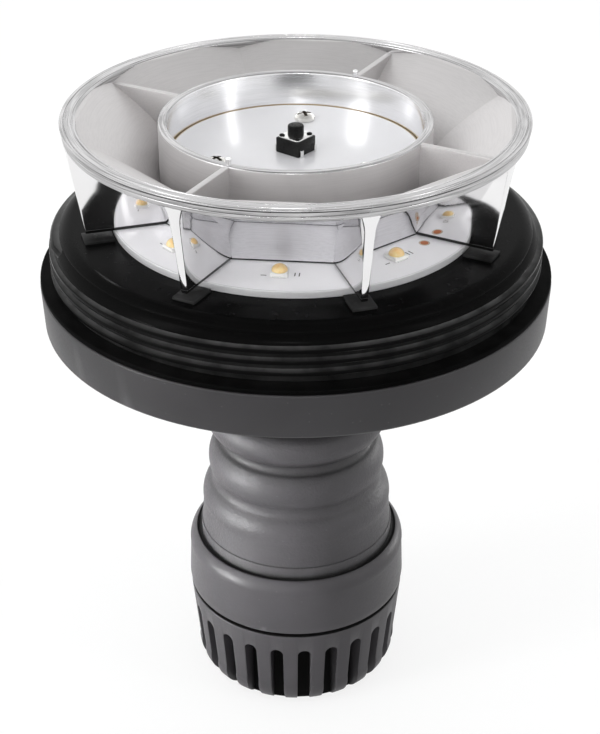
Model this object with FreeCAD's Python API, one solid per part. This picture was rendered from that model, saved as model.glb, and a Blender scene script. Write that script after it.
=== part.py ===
import FreeCAD, Part

import math
import os

# Signal light on a flexible neck, for a 24 mm beacon pole. Millimetres, +Z up.
# The origin is the middle of the knob's foot, and the pole comes in from below.

Vector = FreeCAD.Vector

# Clearances
SLIP_GAP = 0.3
RUN_GAP = 0.05
SEAT_GAP = 0.05
FIT_GAP = 0.1

# Screws: shank radius, head radius, head rise
LARGE_SCREW = (2.0, 3.6, 2.6)
MEDIUM_SCREW = (1.5, 2.7, 1.95)
SMALL_SCREW = (1.25, 2.25, 1.625)

# Pole and clamp knob
POLE_R = 12.0
POLE_CLEARANCE = 0.25
KNOB_HEIGHT = 23.6
KNOB_TOP_R = 25.9
KNOB_TAPER = 1.5
KNOB_FOOT_INSET = 4.4
KNOB_FOOT_RISE = 7.5
KNOB_FOOT_SAG = 1.57
KNOB_FLOOR = 4.0
KNOB_MOUTH_CLEARANCE = 1.4
KNOB_CONE_RISE = 6.5
KNOB_CONE_LOW_R = 14.8
SLOT_COUNT = 24
SLOT_WIDTH = 3.1
SLOT_BRIDGE = 5.0
SLOT_FLOOR_WALL = 1.5
SLOT_ANGLE = 4.4
FRONT_ANGLE = -90.0

# Split collet in the knob
COLLET_HEIGHT = 7.7
COLLET_OPEN = 0.6
COLLET_SLIT = 3.0

# Pole socket
THREAD_R = 18.8
SOCKET_BODY_R = 20.2
SOCKET_BODY_RISE = 14.0
SOCKET_WALL = 2.8
SOCKET_MOUTH_GAP = 0.5
BORE_LENGTH = 34.0
CONTACT_WELL_R = 11.0
CONTACT_WELL_DEPTH = 3.0
SOCKET_ROOF = 2.5

# Sleeve round the socket
SEAM_GAP = 0.4
SLEEVE_HEIGHT = 14.6
SLEEVE_SWELL = 0.25
SLEEVE_EDGE_RISE = 2.0
SLEEVE_SHOULDER_INSET = 0.1
SLEEVE_SHOULDER_WIDTH = 1.8
SLEEVE_SHOULDER_DROP = 4.2
SLEEVE_SHOULDER_SAG = 0.68
SLEEVE_LIP_WALL = 0.9
SLEEVE_FLOOR = 4.0

# Contacts over the pole
PIN_R = 2.6
PIN_TIP_DROP = 2.6
PIN_TIP_ROUND = 1.0
PIN_FLANGE_R = 4.2
PIN_FLANGE = 1.0
PIN_STEM_R = 1.5
PIN_STEM = 3.0
PIN_TRAVEL = 2.0
BLOCK_R = 12.4
BLOCK_ROOF = 1.5
SPRING_WIRE_R = 0.35
SPRING_TURNS = 3
SPRING_CHORDS = 16
SPRING_WIRE_SIDES = 6
EARTH_RING = 0.6
EARTH_RING_WIDTH = 2.0

# Flexible neck
NECK_SKIRT_TAPER = 0.7
SKIRT_RISE = 8.9
SKIRT_ROUND = 2.0
SKIRT_SAG = 0.55
GROOVE_R = 18.6
GROOVE_HALF = 2.0
BEAD_R = 21.4
BEAD_PITCH = 11.9
BEAD_COUNT = 3
NECK_BORE_R = 9.0
NECK_FLARE = 6.3
NECK_FLARE_SAG = 0.87
NECK_FLANGE_R = 30.0
NECK_FLANGE = 4.5
NECK_SPIGOT_R = 16.0
LEAD_R = 0.9
LEAD_LOW_X = 3.5
LEAD_HIGH_X = 6.0
LEAD_BEND_RISE = 24.0

# Base cup
CUP_HEIGHT = 10.2
CUP_DRAFT = 0.45
CUP_WALL = 2.4
CUP_FLOOR = 3.0
CUP_EDGE_ROUND = 0.8
CUP_RECESS = 1.4
CUP_RECESS_EDGE = 4.7
CUP_RECESS_MARGIN = 2.5
CUP_RIBS = 8
CUP_RIB_WIDTH = 2.4
NECK_SCREW_LENGTH = 7.5
NECK_SCREW_CIRCLE = 23.0
NECK_SCREW_COUNT = 4
NECK_SCREW_ANGLE = 45.0
PLATE_R = 28.0
PLATE = 1.6
COLLAR_SCREW_LENGTH = 8.0
COLLAR_SCREW_COUNT = 4
COLLAR_SCREW_ANGLE = 45.0

# Threaded collar and lens seal
DECK_RISE = 23.0
DECK = 2.4
DECK_HOLE_R = 12.0
COLLAR_ROOT_R = 52.4
COLLAR_STEP = 1.1
COLLAR_ROUND_WIDTH = 4.0
COLLAR_ROUND_DROP = 3.0
COLLAR_ROUND_SAG = 1.02
COLLAR_WALL = 2.4
RIDGE_COUNT = 3
RIDGE_PITCH = 3.0
RIDGE_START = 1.35
RIDGE_RISE = 1.75
RIDGE_FOOT = 2.3
RIDGE_CREST = 0.9
BOSS_R = 4.0
BOSS_INSET = 2.0
PAD_INSET = 1.15
PAD_HEIGHT = 0.6
PAD_MARGIN = 0.65
PAD_WIDTH = 5.2
SEAL = 1.2
SEAL_INSET = 0.55

# LED board and light sources
LED_BOARD_R = 40.35
LED_BOARD = 1.6
LED_BOARD_HOLE_R = 8.0
LED_BOARD_SCREW_CIRCLE = 22.0
LED_BOARD_SCREW_COUNT = 3
LED_BOARD_SCREW_ANGLE = 25.0
LED_BOARD_SCREW_LENGTH = 5.5
LED_BASE = 3.6
LED_BASE_RISE = 0.9
LED_DOME_R = 1.65
LED_DOME_RISE = 1.3
LED_DOME_BRIM = 0.2

# Reflector
CELLS = 8
FIN_ANGLE = 16.9
CELL_APOTHEM = 27.25
CELL_FOCUS = 5.45
REFLECTOR_RISE = 22.05
REFLECTOR_WALL = 1.2
RIM_R = 50.0
RIM_LIP = 3.5
RIM_BAND = 2.6
FIN = 1.5
FIN_HEAD = 2.3
FIN_HEAD_INSET = 0.3

# Inner tube and driver board
TUBE_R = 29.4
TUBE_WALL = 1.9
TUBE_DROP = 1.4
TUBE_SKIRT = 4.0
WEB = 1.3
WEB_DROP = 0.2
LEDGE_WIDTH = 1.7
LEDGE = 1.5
RIM_PIN_R = 0.6
DRIVER_DEPTH = 7.65
DRIVER_BOARD = 1.6
DRIVER_SCREW_CIRCLE = 18.3
DRIVER_SCREW_ANGLE = 84.0
DRIVER_SCREW_COUNT = 3
DRIVER_SCREW_LENGTH = 5.0
SPACER_R = 2.6
CHIP = (5.0, 4.0, 1.6)
CHIP_AT = (-12.0, 5.0)
COIL_R = 4.0
COIL_HEIGHT = 4.5
COIL_FLANGE = 0.9
COIL_WAIST_R = 3.2
COIL_AT = (9.0, 11.0)
CAPACITOR_R = 4.0
CAPACITOR_HEIGHT = 8.0
CAPACITOR_ROUND = 0.8
CAPACITOR_AT = (5.0, -12.0)
HEADER_BODY = (7.6, 2.5, 2.6)
HEADER_PIN = 0.64
HEADER_PITCH = 2.54
HEADER_PINS = 3
HEADER_AT = (-8.0, -13.0)

# Push switch
SWITCH = 6.1
SWITCH_HEIGHT = 3.4
SWITCH_AT = (0.0, 0.1)
SWITCH_ANGLE = 52.0
SWITCH_COVER = 0.3
SWITCH_COVER_INSET = 0.25
BUTTON_R = 1.75
BUTTON_RISE = 2.6
BUTTON_ROOT = 0.8
BUTTON_TRAVEL = 0.25
BUTTON_EDGE = 0.26
LEG = 0.3
LEG_WIDTH = 0.7
LEG_REACH = 0.6
LEG_KNEE = 1.36
LEG_SPACING = 4.5

# Sizes and heights that follow from those above
NECK_SCREW_R = LARGE_SCREW[0]
COLLAR_SCREW_R = MEDIUM_SCREW[0]
LED_BOARD_SCREW_R = MEDIUM_SCREW[0]
DRIVER_SCREW_R = SMALL_SCREW[0]
BORE_R = POLE_R + POLE_CLEARANCE
KNOB_THREAD_R = THREAD_R + SLIP_GAP
KNOB_LOW_R = KNOB_TOP_R - KNOB_TAPER
KNOB_FOOT_R = KNOB_LOW_R - KNOB_FOOT_INSET
SLOT_FLOOR_R = KNOB_THREAD_R + SLOT_FLOOR_WALL
SLEEVE_R = KNOB_TOP_R + SLEEVE_SWELL
SLEEVE_SHOULDER_R = KNOB_TOP_R - SLEEVE_SHOULDER_INSET
SLEEVE_LIP_R = SLEEVE_SHOULDER_R - SLEEVE_SHOULDER_WIDTH
NECK_FOOT_R = SLEEVE_LIP_R - SLEEVE_LIP_WALL - FIT_GAP
NECK_SKIRT_R = NECK_FOOT_R - NECK_SKIRT_TAPER
CONE_TOP_Z = KNOB_FLOOR + KNOB_CONE_RISE
COLLET_Z = KNOB_FLOOR + SLIP_GAP
COLLET_TOP_Z = COLLET_Z + COLLET_HEIGHT
SOCKET_Z = COLLET_TOP_Z + SOCKET_MOUTH_GAP
BORE_TOP_Z = SOCKET_Z + BORE_LENGTH
WELL_TOP_Z = BORE_TOP_Z + CONTACT_WELL_DEPTH
SOCKET_TOP_Z = WELL_TOP_Z + SOCKET_ROOF
SOCKET_NOSE_R = BORE_R + SOCKET_WALL
SLEEVE_Z = KNOB_HEIGHT + SEAM_GAP
SLEEVE_FLOOR_Z = SLEEVE_Z + SLEEVE_FLOOR
SLEEVE_TOP_Z = SLEEVE_Z + SLEEVE_HEIGHT
SOCKET_BODY_TOP_Z = SLEEVE_FLOOR_Z + SOCKET_BODY_RISE
PIN_ROOM = SEAT_GAP + PIN_FLANGE + PIN_STEM + PIN_TRAVEL + SLIP_GAP
BLOCK_TOP_Z = SOCKET_TOP_Z + PIN_ROOM + BLOCK_ROOF
SKIRT_TOP_Z = SLEEVE_TOP_Z + SKIRT_RISE
BEAD_ROOT_R = GROOVE_R + (BEAD_R - GROOVE_R) * 2 * GROOVE_HALF / BEAD_PITCH
GROOVE_Z = SKIRT_TOP_Z + SKIRT_ROUND + GROOVE_HALF
BEAD_TOP_Z = GROOVE_Z + BEAD_COUNT * BEAD_PITCH
FLANGE_Z = BEAD_TOP_Z + NECK_FLARE
CUP_Z = FLANGE_Z + NECK_FLANGE + SEAT_GAP
CUP_FLOOR_Z = CUP_Z + CUP_FLOOR
CUP_TOP_Z = CUP_Z + CUP_HEIGHT
COLLAR_SKIRT_R = COLLAR_ROOT_R + COLLAR_STEP
COLLAR_IN_R = COLLAR_ROOT_R - COLLAR_WALL
COLLAR_SCREW_CIRCLE = COLLAR_IN_R - BOSS_R - BOSS_INSET
CUP_IN_R = COLLAR_SKIRT_R + SLIP_GAP
CUP_LOW_R = CUP_IN_R + CUP_WALL
CUP_TOP_R = CUP_LOW_R + CUP_DRAFT
PLATE_TOP_Z = CUP_FLOOR_Z + PLATE
DECK_Z = CUP_Z + DECK_RISE
LED_BOARD_TOP_Z = DECK_Z + LED_BOARD
REFLECTOR_Z = LED_BOARD_TOP_Z + SEAT_GAP
DECK_EDGE_R = COLLAR_ROOT_R - COLLAR_ROUND_WIDTH
PAD_OUT_R = DECK_EDGE_R - PAD_INSET
FIN_FOOT_R = PAD_OUT_R - PAD_MARGIN
REFLECTOR_TOP_Z = REFLECTOR_Z + REFLECTOR_RISE
TUBE_TOP_Z = REFLECTOR_TOP_Z - TUBE_DROP
TUBE_IN_R = TUBE_R - TUBE_WALL
DRIVER_TOP_Z = TUBE_TOP_Z - DRIVER_DEPTH
DRIVER_Z = DRIVER_TOP_Z - DRIVER_BOARD
SWITCH_TOP_Z = DRIVER_TOP_Z + SWITCH_HEIGHT
CELL_HALF_ANGLE = 180.0 / CELLS
CORNER_STRETCH = 1.0 / math.cos(math.radians(CELL_HALF_ANGLE))
LED_CIRCLE = CELL_APOTHEM + CELL_FOCUS


def flat(r, z):
    return Vector(r, 0, z)


def closed_face(*steps):
    """Face in the XZ plane. A step is a point, or a pair of points for an arc: through, to."""
    edges = []
    start = flat(*steps[0])
    here = start
    for step in steps[1:] + (steps[0],):
        if isinstance(step[0], tuple):
            through = flat(*step[0])
            end = flat(*step[1])
            edges.append(Part.Arc(here, through, end).toShape())
        else:
            end = flat(*step)
            if here.isEqual(end, 1e-7):
                continue
            edges.append(Part.LineSegment(here, end).toShape())
        here = end
    return Part.Face(Part.Wire(edges))


def bulge(a, b, sag):
    """Arc step from point a to point b that swells by sag to the right of the way."""
    length = math.hypot(b[0] - a[0], b[1] - a[1])
    out_r = (b[1] - a[1]) / length * sag
    out_z = (a[0] - b[0]) / length * sag
    return (((a[0] + b[0]) / 2 + out_r, (a[1] + b[1]) / 2 + out_z), b)


def cap(r, low, rise):
    """Arc step along a ball, from a rim of radius r up to the axis."""
    ball = (r * r + rise * rise) / (2 * rise)
    half = math.asin(r / ball) / 2
    through = (ball * math.sin(half), low + rise - ball * (1 - math.cos(half)))
    return (through, (0, low + rise))


def turned(*steps):
    return closed_face(*steps).revolve(Vector(), Vector(0, 0, 1), 360)


def disc(r, z, height, at=(0, 0)):
    return Part.makeCylinder(r, height, Vector(at[0], at[1], z))


def ring(r_out, r_in, z, height):
    return disc(r_out, z, height).cut(disc(r_in, z, height))


def block(size, at, z):
    width, depth, height = size
    return Part.makeBox(width, depth, height, Vector(at[0] - width / 2, at[1] - depth / 2, z))


def spun(shape, angle, at=(0, 0)):
    copy = shape.copy()
    copy.rotate(Vector(at[0], at[1], 0), Vector(0, 0, 1), angle)
    return copy


def around(shape, count, turn=0.0):
    return [spun(shape, turn + 360.0 * k / count) for k in range(count)]


def on_circle(radius, count, turn):
    angles = [math.radians(turn + 360.0 * k / count) for k in range(count)]
    return [(radius * math.cos(a), radius * math.sin(a)) for a in angles]


def group(shapes):
    return Part.makeCompound(shapes)


def fused(shapes):
    return shapes[0].multiFuse(shapes[1:]).removeSplitter()


def screw(kind, length, at, z, down=True):
    """Pan head screw whose head sits on height z and whose shank points down, or up."""
    shank_r, head_r, rise = kind
    brim = rise / 2
    shape = turned(
        (0, -length),
        (shank_r, -length),
        (shank_r, 0),
        (head_r, 0),
        (head_r, brim),
        cap(head_r, brim, rise - brim),
    )
    if not down:
        shape.rotate(Vector(), Vector(1, 0, 0), 180)
    shape.translate(Vector(at[0], at[1], z))
    return shape


# Pole mount

def knob_slot():
    """One grip slot with a round top, standing at +X."""
    half = SLOT_WIDTH / 2
    top = KNOB_HEIGHT - SLOT_BRIDGE
    low = -SLOT_WIDTH
    corners = [Vector(SLOT_FLOOR_R, -half, low), Vector(SLOT_FLOOR_R, half, low)]
    shoulder = Vector(SLOT_FLOOR_R, half, top - half)
    crown = Vector(SLOT_FLOOR_R, 0, top)
    other = Vector(SLOT_FLOOR_R, -half, top - half)
    edges = [
        Part.LineSegment(corners[0], corners[1]).toShape(),
        Part.LineSegment(corners[1], shoulder).toShape(),
        Part.Arc(shoulder, crown, other).toShape(),
        Part.LineSegment(other, corners[0]).toShape(),
    ]
    return Part.Face(Part.Wire(edges)).extrude(Vector(KNOB_TOP_R - SLOT_FLOOR_R + SLOT_WIDTH, 0, 0))


def clamp_knob():
    mouth = POLE_R + KNOB_MOUTH_CLEARANCE
    foot = (KNOB_FOOT_R, 0)
    body = turned(
        (mouth, 0),
        foot,
        bulge(foot, (KNOB_LOW_R, KNOB_FOOT_RISE), KNOB_FOOT_SAG),
        (KNOB_TOP_R, KNOB_HEIGHT),
        (KNOB_THREAD_R, KNOB_HEIGHT),
        (KNOB_THREAD_R, CONE_TOP_Z),
        (KNOB_CONE_LOW_R, KNOB_FLOOR),
        (mouth, KNOB_FLOOR),
    )
    return body.cut(group(around(knob_slot(), SLOT_COUNT, SLOT_ANGLE + FRONT_ANGLE)))


def clamp_collet():
    slope = (KNOB_THREAD_R - KNOB_CONE_LOW_R) / KNOB_CONE_RISE
    side_gap = SLIP_GAP * math.sqrt(1 + slope * slope)
    low_r = KNOB_CONE_LOW_R + slope * SLIP_GAP - side_gap
    high_r = KNOB_THREAD_R - side_gap
    grip_r = POLE_R + COLLET_OPEN
    body = turned(
        (grip_r, COLLET_Z),
        (low_r, COLLET_Z),
        (high_r, CONE_TOP_Z),
        (high_r, COLLET_TOP_Z),
        (grip_r, COLLET_TOP_Z),
    )
    slit = block((COLLET_SLIT, KNOB_TOP_R, KNOB_HEIGHT), (0, KNOB_TOP_R / 2), 0)
    return body.cut(slit)


def pole_socket():
    hole_r = PIN_R + RUN_GAP
    return turned(
        (BORE_R, SOCKET_Z),
        (THREAD_R, SOCKET_Z),
        (THREAD_R, SLEEVE_FLOOR_Z),
        (SOCKET_BODY_R, SLEEVE_FLOOR_Z),
        (SOCKET_BODY_R, SOCKET_BODY_TOP_Z),
        (SOCKET_NOSE_R, SOCKET_BODY_TOP_Z),
        (SOCKET_NOSE_R, SOCKET_TOP_Z),
        (hole_r, SOCKET_TOP_Z),
        (hole_r, WELL_TOP_Z),
        (CONTACT_WELL_R, WELL_TOP_Z),
        (CONTACT_WELL_R, BORE_TOP_Z),
        (BORE_R, BORE_TOP_Z),
    )


def socket_sleeve():
    neck_r = NECK_FOOT_R + FIT_GAP
    shoulder = (SLEEVE_SHOULDER_R, SLEEVE_TOP_Z - SLEEVE_SHOULDER_DROP)
    return turned(
        (THREAD_R + FIT_GAP, SLEEVE_Z),
        (KNOB_TOP_R, SLEEVE_Z),
        (SLEEVE_R, SLEEVE_Z + SLEEVE_EDGE_RISE),
        shoulder,
        bulge(shoulder, (SLEEVE_LIP_R, SLEEVE_TOP_Z), SLEEVE_SHOULDER_SAG),
        (neck_r, SLEEVE_TOP_Z - SLEEVE_LIP_WALL),
        (neck_r, SLEEVE_FLOOR_Z),
        (THREAD_R + FIT_GAP, SLEEVE_FLOOR_Z),
    )


def earth_contact():
    out_r = CONTACT_WELL_R - FIT_GAP
    return ring(out_r, out_r - EARTH_RING_WIDTH, WELL_TOP_Z - EARTH_RING, EARTH_RING)


def contact_block():
    cavity = PIN_FLANGE_R + SLIP_GAP
    body = disc(BLOCK_R, SOCKET_TOP_Z, PIN_ROOM + BLOCK_ROOF)
    return body.cut(disc(cavity, SOCKET_TOP_Z, PIN_ROOM))


def centre_contact():
    flange_z = SOCKET_TOP_Z + SEAT_GAP
    flange_top = flange_z + PIN_FLANGE
    tip_z = WELL_TOP_Z - PIN_TIP_DROP
    stem_top = flange_top + PIN_STEM
    return turned(
        (0, stem_top),
        (PIN_STEM_R, stem_top),
        (PIN_STEM_R, flange_top),
        (PIN_FLANGE_R, flange_top),
        (PIN_FLANGE_R, flange_z),
        (PIN_R, flange_z),
        (PIN_R, tip_z + PIN_TIP_ROUND),
        cap(PIN_R, tip_z + PIN_TIP_ROUND, -PIN_TIP_ROUND),
    )


def contact_spring():
    """Coil spring on the pin's stem, in short lengths of wire with mitred joints."""
    low = SOCKET_TOP_Z + SEAT_GAP + PIN_FLANGE + SEAT_GAP + SPRING_WIRE_R
    high = BLOCK_TOP_Z - BLOCK_ROOF - SEAT_GAP - SPRING_WIRE_R
    coil_r = (PIN_STEM_R + PIN_FLANGE_R) / 2
    count = SPRING_TURNS * SPRING_CHORDS
    ring_points = on_circle(coil_r, SPRING_CHORDS, 0)
    points = []
    for k in range(count + 1):
        x, y = ring_points[k % SPRING_CHORDS]
        points.append(Vector(x, y, low + (high - low) * k / count))
    along = (points[1] - points[0]).normalize()
    out = (Vector(1, 0, 0) - along * along.x).normalize()
    up = along.cross(out)
    corners = []
    for x, y in on_circle(SPRING_WIRE_R, SPRING_WIRE_SIDES, 0):
        corners.append(points[0] + out * x + up * y)
    section = Part.makePolygon(corners + corners[:1])
    mitred = 1
    return Part.makePolygon(points).makePipeShell([section], True, False, mitred)


def neck_places():
    return on_circle(NECK_SCREW_CIRCLE, NECK_SCREW_COUNT, NECK_SCREW_ANGLE)


def flex_neck():
    skirt = (NECK_SKIRT_R, SKIRT_TOP_Z)
    steps = [
        (SOCKET_BODY_R + FIT_GAP, SLEEVE_FLOOR_Z),
        (NECK_FOOT_R, SLEEVE_FLOOR_Z),
        (NECK_FOOT_R, SLEEVE_TOP_Z),
        skirt,
        bulge(skirt, (BEAD_ROOT_R, GROOVE_Z - GROOVE_HALF), SKIRT_SAG),
    ]
    for k in range(BEAD_COUNT):
        low = GROOVE_Z + k * BEAD_PITCH
        high = low + BEAD_PITCH
        steps.append(((GROOVE_R, low), (BEAD_ROOT_R, low + GROOVE_HALF)))
        steps.append(((BEAD_R, (low + high) / 2), (BEAD_ROOT_R, high - GROOVE_HALF)))
    flare = (BEAD_ROOT_R, BEAD_TOP_Z + GROOVE_HALF)
    top = FLANGE_Z + NECK_FLANGE
    room_r = BLOCK_R + SLIP_GAP
    room_top = BLOCK_TOP_Z + SLIP_GAP
    steps += [
        ((GROOVE_R, BEAD_TOP_Z), flare),
        bulge(flare, (NECK_FLANGE_R, FLANGE_Z), -NECK_FLARE_SAG),
        (NECK_FLANGE_R, top),
        (NECK_SPIGOT_R, top),
        (NECK_SPIGOT_R, CUP_FLOOR_Z - SEAT_GAP),
        (NECK_BORE_R, CUP_FLOOR_Z - SEAT_GAP),
        (NECK_BORE_R, room_top + room_r - NECK_BORE_R),
        (room_r, room_top),
        (room_r, SOCKET_TOP_Z),
        (SOCKET_NOSE_R + FIT_GAP, SOCKET_TOP_Z),
        (SOCKET_NOSE_R + FIT_GAP, SOCKET_BODY_TOP_Z),
        (SOCKET_BODY_R + FIT_GAP, SOCKET_BODY_TOP_Z),
    ]
    neck = turned(*steps)
    depth = NECK_SCREW_LENGTH - PLATE - CUP_FLOOR + SLIP_GAP
    holes = [disc(NECK_SCREW_R + SLIP_GAP, top - depth, depth, at) for at in neck_places()]
    return neck.cut(group(holes))


def lead(side):
    """One supply wire: up from the contact block, then a gentle double bend to the driver board."""
    low_z = BLOCK_TOP_Z
    bend_z = BEAD_TOP_Z
    shift = LEAD_HIGH_X - LEAD_LOW_X
    mid = Vector(side * (LEAD_LOW_X + shift / 2), 0, bend_z + LEAD_BEND_RISE / 2)
    start = Vector(side * LEAD_LOW_X, 0, bend_z)
    end = Vector(side * LEAD_HIGH_X, 0, bend_z + LEAD_BEND_RISE)
    quarter = Vector(0, 0, LEAD_BEND_RISE / 4)
    bend_r = (shift * shift + LEAD_BEND_RISE * LEAD_BEND_RISE) / (4 * shift)
    inset = Vector(side * (bend_r - math.sqrt(bend_r * bend_r - quarter.z * quarter.z)), 0, 0)
    foot = Vector(side * LEAD_LOW_X, 0, low_z)
    edges = [
        Part.LineSegment(foot, start).toShape(),
        Part.Arc(start, start + quarter + inset, mid).toShape(),
        Part.Arc(mid, end - quarter - inset, end).toShape(),
        Part.LineSegment(end, Vector(side * LEAD_HIGH_X, 0, DRIVER_Z - SEAT_GAP)).toShape(),
    ]
    section = Part.Wire(Part.makeCircle(LEAD_R, foot, Vector(0, 0, 1)))
    return Part.Wire(edges).makePipeShell([section], True, False)


# Lamp base

def neck_plate():
    plate = ring(PLATE_R, NECK_BORE_R, CUP_FLOOR_Z, PLATE)
    holes = [disc(NECK_SCREW_R + FIT_GAP, CUP_FLOOR_Z, PLATE, at) for at in neck_places()]
    return plate.cut(group(holes))


def neck_screws():
    return group([screw(LARGE_SCREW, NECK_SCREW_LENGTH, at, PLATE_TOP_Z) for at in neck_places()])


def collar_places():
    return on_circle(COLLAR_SCREW_CIRCLE, COLLAR_SCREW_COUNT, COLLAR_SCREW_ANGLE)


def collar_screws():
    z = CUP_Z + CUP_RECESS
    return group([screw(MEDIUM_SCREW, COLLAR_SCREW_LENGTH, at, z, False) for at in collar_places()])


def cup_underside():
    """Shallow ring recess under the cup, crossed by ribs, with round seats for the screws."""
    in_r = NECK_FLANGE_R + CUP_RECESS_MARGIN
    out_r = CUP_LOW_R - CUP_RECESS_EDGE
    recess = ring(out_r, in_r, CUP_Z, CUP_RECESS)
    rib = block((out_r, CUP_RIB_WIDTH, CUP_RECESS), (out_r / 2, 0), CUP_Z)
    return recess.cut(group(around(rib, CUP_RIBS, 0)))


def base_cup():
    foot = (CUP_LOW_R - CUP_EDGE_ROUND, CUP_Z)
    quarter_sag = CUP_EDGE_ROUND * (1 - math.sqrt(0.5))
    shell = turned(
        (NECK_SPIGOT_R + SLIP_GAP, CUP_Z),
        foot,
        bulge(foot, (CUP_LOW_R, CUP_Z + CUP_EDGE_ROUND), quarter_sag),
        (CUP_TOP_R, CUP_TOP_Z),
        (CUP_IN_R, CUP_TOP_Z),
        (CUP_IN_R, CUP_FLOOR_Z),
        (NECK_SPIGOT_R + SLIP_GAP, CUP_FLOOR_Z),
    )
    cuts = [disc(NECK_SCREW_R + FIT_GAP, CUP_Z, CUP_FLOOR, at) for at in neck_places()]
    head_r = MEDIUM_SCREW[1] + SLIP_GAP
    seats = [disc(head_r + CUP_RIB_WIDTH, CUP_Z, CUP_RECESS, at) for at in collar_places()]
    cuts.append(cup_underside().cut(group(seats)))
    for at in collar_places():
        cuts.append(disc(COLLAR_SCREW_R + FIT_GAP, CUP_Z, CUP_FLOOR, at))
        cuts.append(disc(head_r, CUP_Z, CUP_RECESS, at))
    return shell.cut(group(cuts))


def reflector_pad():
    """Low pad on the deck under one fin of the reflector."""
    low_r = LED_BOARD_R + SLIP_GAP
    length = PAD_OUT_R - low_r
    return block((length, PAD_WIDTH, PAD_HEIGHT), (low_r + length / 2, 0), DECK_Z)


def lens_ridges():
    """Profile steps of the ridges that the lens screws onto, from the lowest up."""
    crest_r = COLLAR_ROOT_R + RIDGE_RISE
    steps = []
    for k in range(RIDGE_COUNT):
        mid = CUP_TOP_Z + SEAL + RIDGE_START + k * RIDGE_PITCH
        steps.append((COLLAR_ROOT_R, mid - RIDGE_FOOT / 2))
        steps.append((crest_r, mid - RIDGE_CREST / 2))
        steps.append((crest_r, mid + RIDGE_CREST / 2))
        steps.append((COLLAR_ROOT_R, mid + RIDGE_FOOT / 2))
    return steps


def threaded_collar():
    skirt_top = CUP_TOP_Z - SEAT_GAP
    shoulder = (COLLAR_ROOT_R, DECK_Z - COLLAR_ROUND_DROP)
    deck_low = DECK_Z - DECK
    body = turned(
        (COLLAR_IN_R, CUP_FLOOR_Z),
        (COLLAR_SKIRT_R, CUP_FLOOR_Z),
        (COLLAR_SKIRT_R, skirt_top),
        (COLLAR_ROOT_R, skirt_top),
        *lens_ridges(),
        shoulder,
        bulge(shoulder, (DECK_EDGE_R, DECK_Z), COLLAR_ROUND_SAG),
        (DECK_HOLE_R, DECK_Z),
        (DECK_HOLE_R, deck_low),
        (COLLAR_IN_R - COLLAR_WALL, deck_low),
        (COLLAR_IN_R, deck_low - COLLAR_WALL),
    )
    boss_height = deck_low - CUP_FLOOR_Z
    adds = around(reflector_pad(), CELLS, FIN_ANGLE)
    adds += [disc(BOSS_R, CUP_FLOOR_Z, boss_height, at) for at in collar_places()]
    body = fused([body] + adds)
    pilot = COLLAR_SCREW_LENGTH
    cuts = [disc(COLLAR_SCREW_R, CUP_FLOOR_Z, pilot, at) for at in collar_places()]
    cuts += [disc(LED_BOARD_SCREW_R, deck_low, DECK, at) for at in led_board_screw_places()]
    return body.cut(group(cuts))


def lens_seal():
    return ring(CUP_TOP_R - SEAL_INSET, COLLAR_ROOT_R + FIT_GAP, CUP_TOP_Z, SEAL)


# LED board and light sources

def led_board_screw_places():
    return on_circle(LED_BOARD_SCREW_CIRCLE, LED_BOARD_SCREW_COUNT, LED_BOARD_SCREW_ANGLE)


def led_board():
    board = ring(LED_BOARD_R, LED_BOARD_HOLE_R, DECK_Z, LED_BOARD)
    holes = [disc(LED_BOARD_SCREW_R + FIT_GAP, DECK_Z, LED_BOARD, at) for at in led_board_screw_places()]
    return board.cut(group(holes))


def led_board_screws():
    places = led_board_screw_places()
    return group([screw(MEDIUM_SCREW, LED_BOARD_SCREW_LENGTH, at, LED_BOARD_TOP_Z) for at in places])


def led_bases():
    base = block((LED_BASE, LED_BASE, LED_BASE_RISE), (LED_CIRCLE, 0), LED_BOARD_TOP_Z)
    return group(around(base, CELLS, FIN_ANGLE + CELL_HALF_ANGLE))


def led_domes():
    dome = turned(
        (0, 0),
        (LED_DOME_R, 0),
        (LED_DOME_R, LED_DOME_BRIM),
        cap(LED_DOME_R, LED_DOME_BRIM, LED_DOME_RISE - LED_DOME_BRIM),
    )
    dome.translate(Vector(LED_CIRCLE, 0, LED_BOARD_TOP_Z + LED_BASE_RISE))
    return group(around(dome, CELLS, FIN_ANGLE + CELL_HALF_ANGLE))


# Reflector

def mirror_curve(offset_r, offset_z, stretch=1.0):
    """Parabola arc of a mirror cell, exact as a quadratic curve: poles foot, knee and head."""
    rise = REFLECTOR_RISE - offset_z
    foot_r = CELL_APOTHEM + offset_r
    head_r = foot_r + rise * rise / (4 * CELL_FOCUS)
    foot_z = REFLECTOR_Z + offset_z
    curve = Part.BezierCurve()
    curve.setPoles([
        flat(foot_r * stretch, foot_z),
        flat(foot_r * stretch, foot_z + rise / 2),
        flat(head_r * stretch, REFLECTOR_TOP_Z),
    ])
    return curve


def joined_face(curve, points):
    """Face closed by one curve and straight lines back from its end to its start."""
    chain = [curve.EndPoint] + [flat(*p) for p in points] + [curve.StartPoint]
    edges = [curve.toShape()]
    for a, b in zip(chain, chain[1:]):
        edges.append(Part.LineSegment(a, b).toShape())
    return Part.Face(Part.Wire(edges))


def straight_cell(face):
    """Extrudes a profile along the side of the cell and trims it to the cell's sector."""
    half = RIM_R
    bar = face.copy()
    bar.translate(Vector(0, -half, 0))
    bar = bar.extrude(Vector(0, 2 * half, 0))
    reach = 2 * RIM_R
    side = reach * math.tan(math.radians(CELL_HALF_ANGLE))
    low = REFLECTOR_Z - RIM_BAND
    corners = [Vector(0, 0, low), Vector(reach, -side, low), Vector(reach, side, low), Vector(0, 0, low)]
    sector = Part.Face(Part.makePolygon(corners)).extrude(Vector(0, 0, 2 * REFLECTOR_RISE))
    return bar.common(sector)


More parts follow.
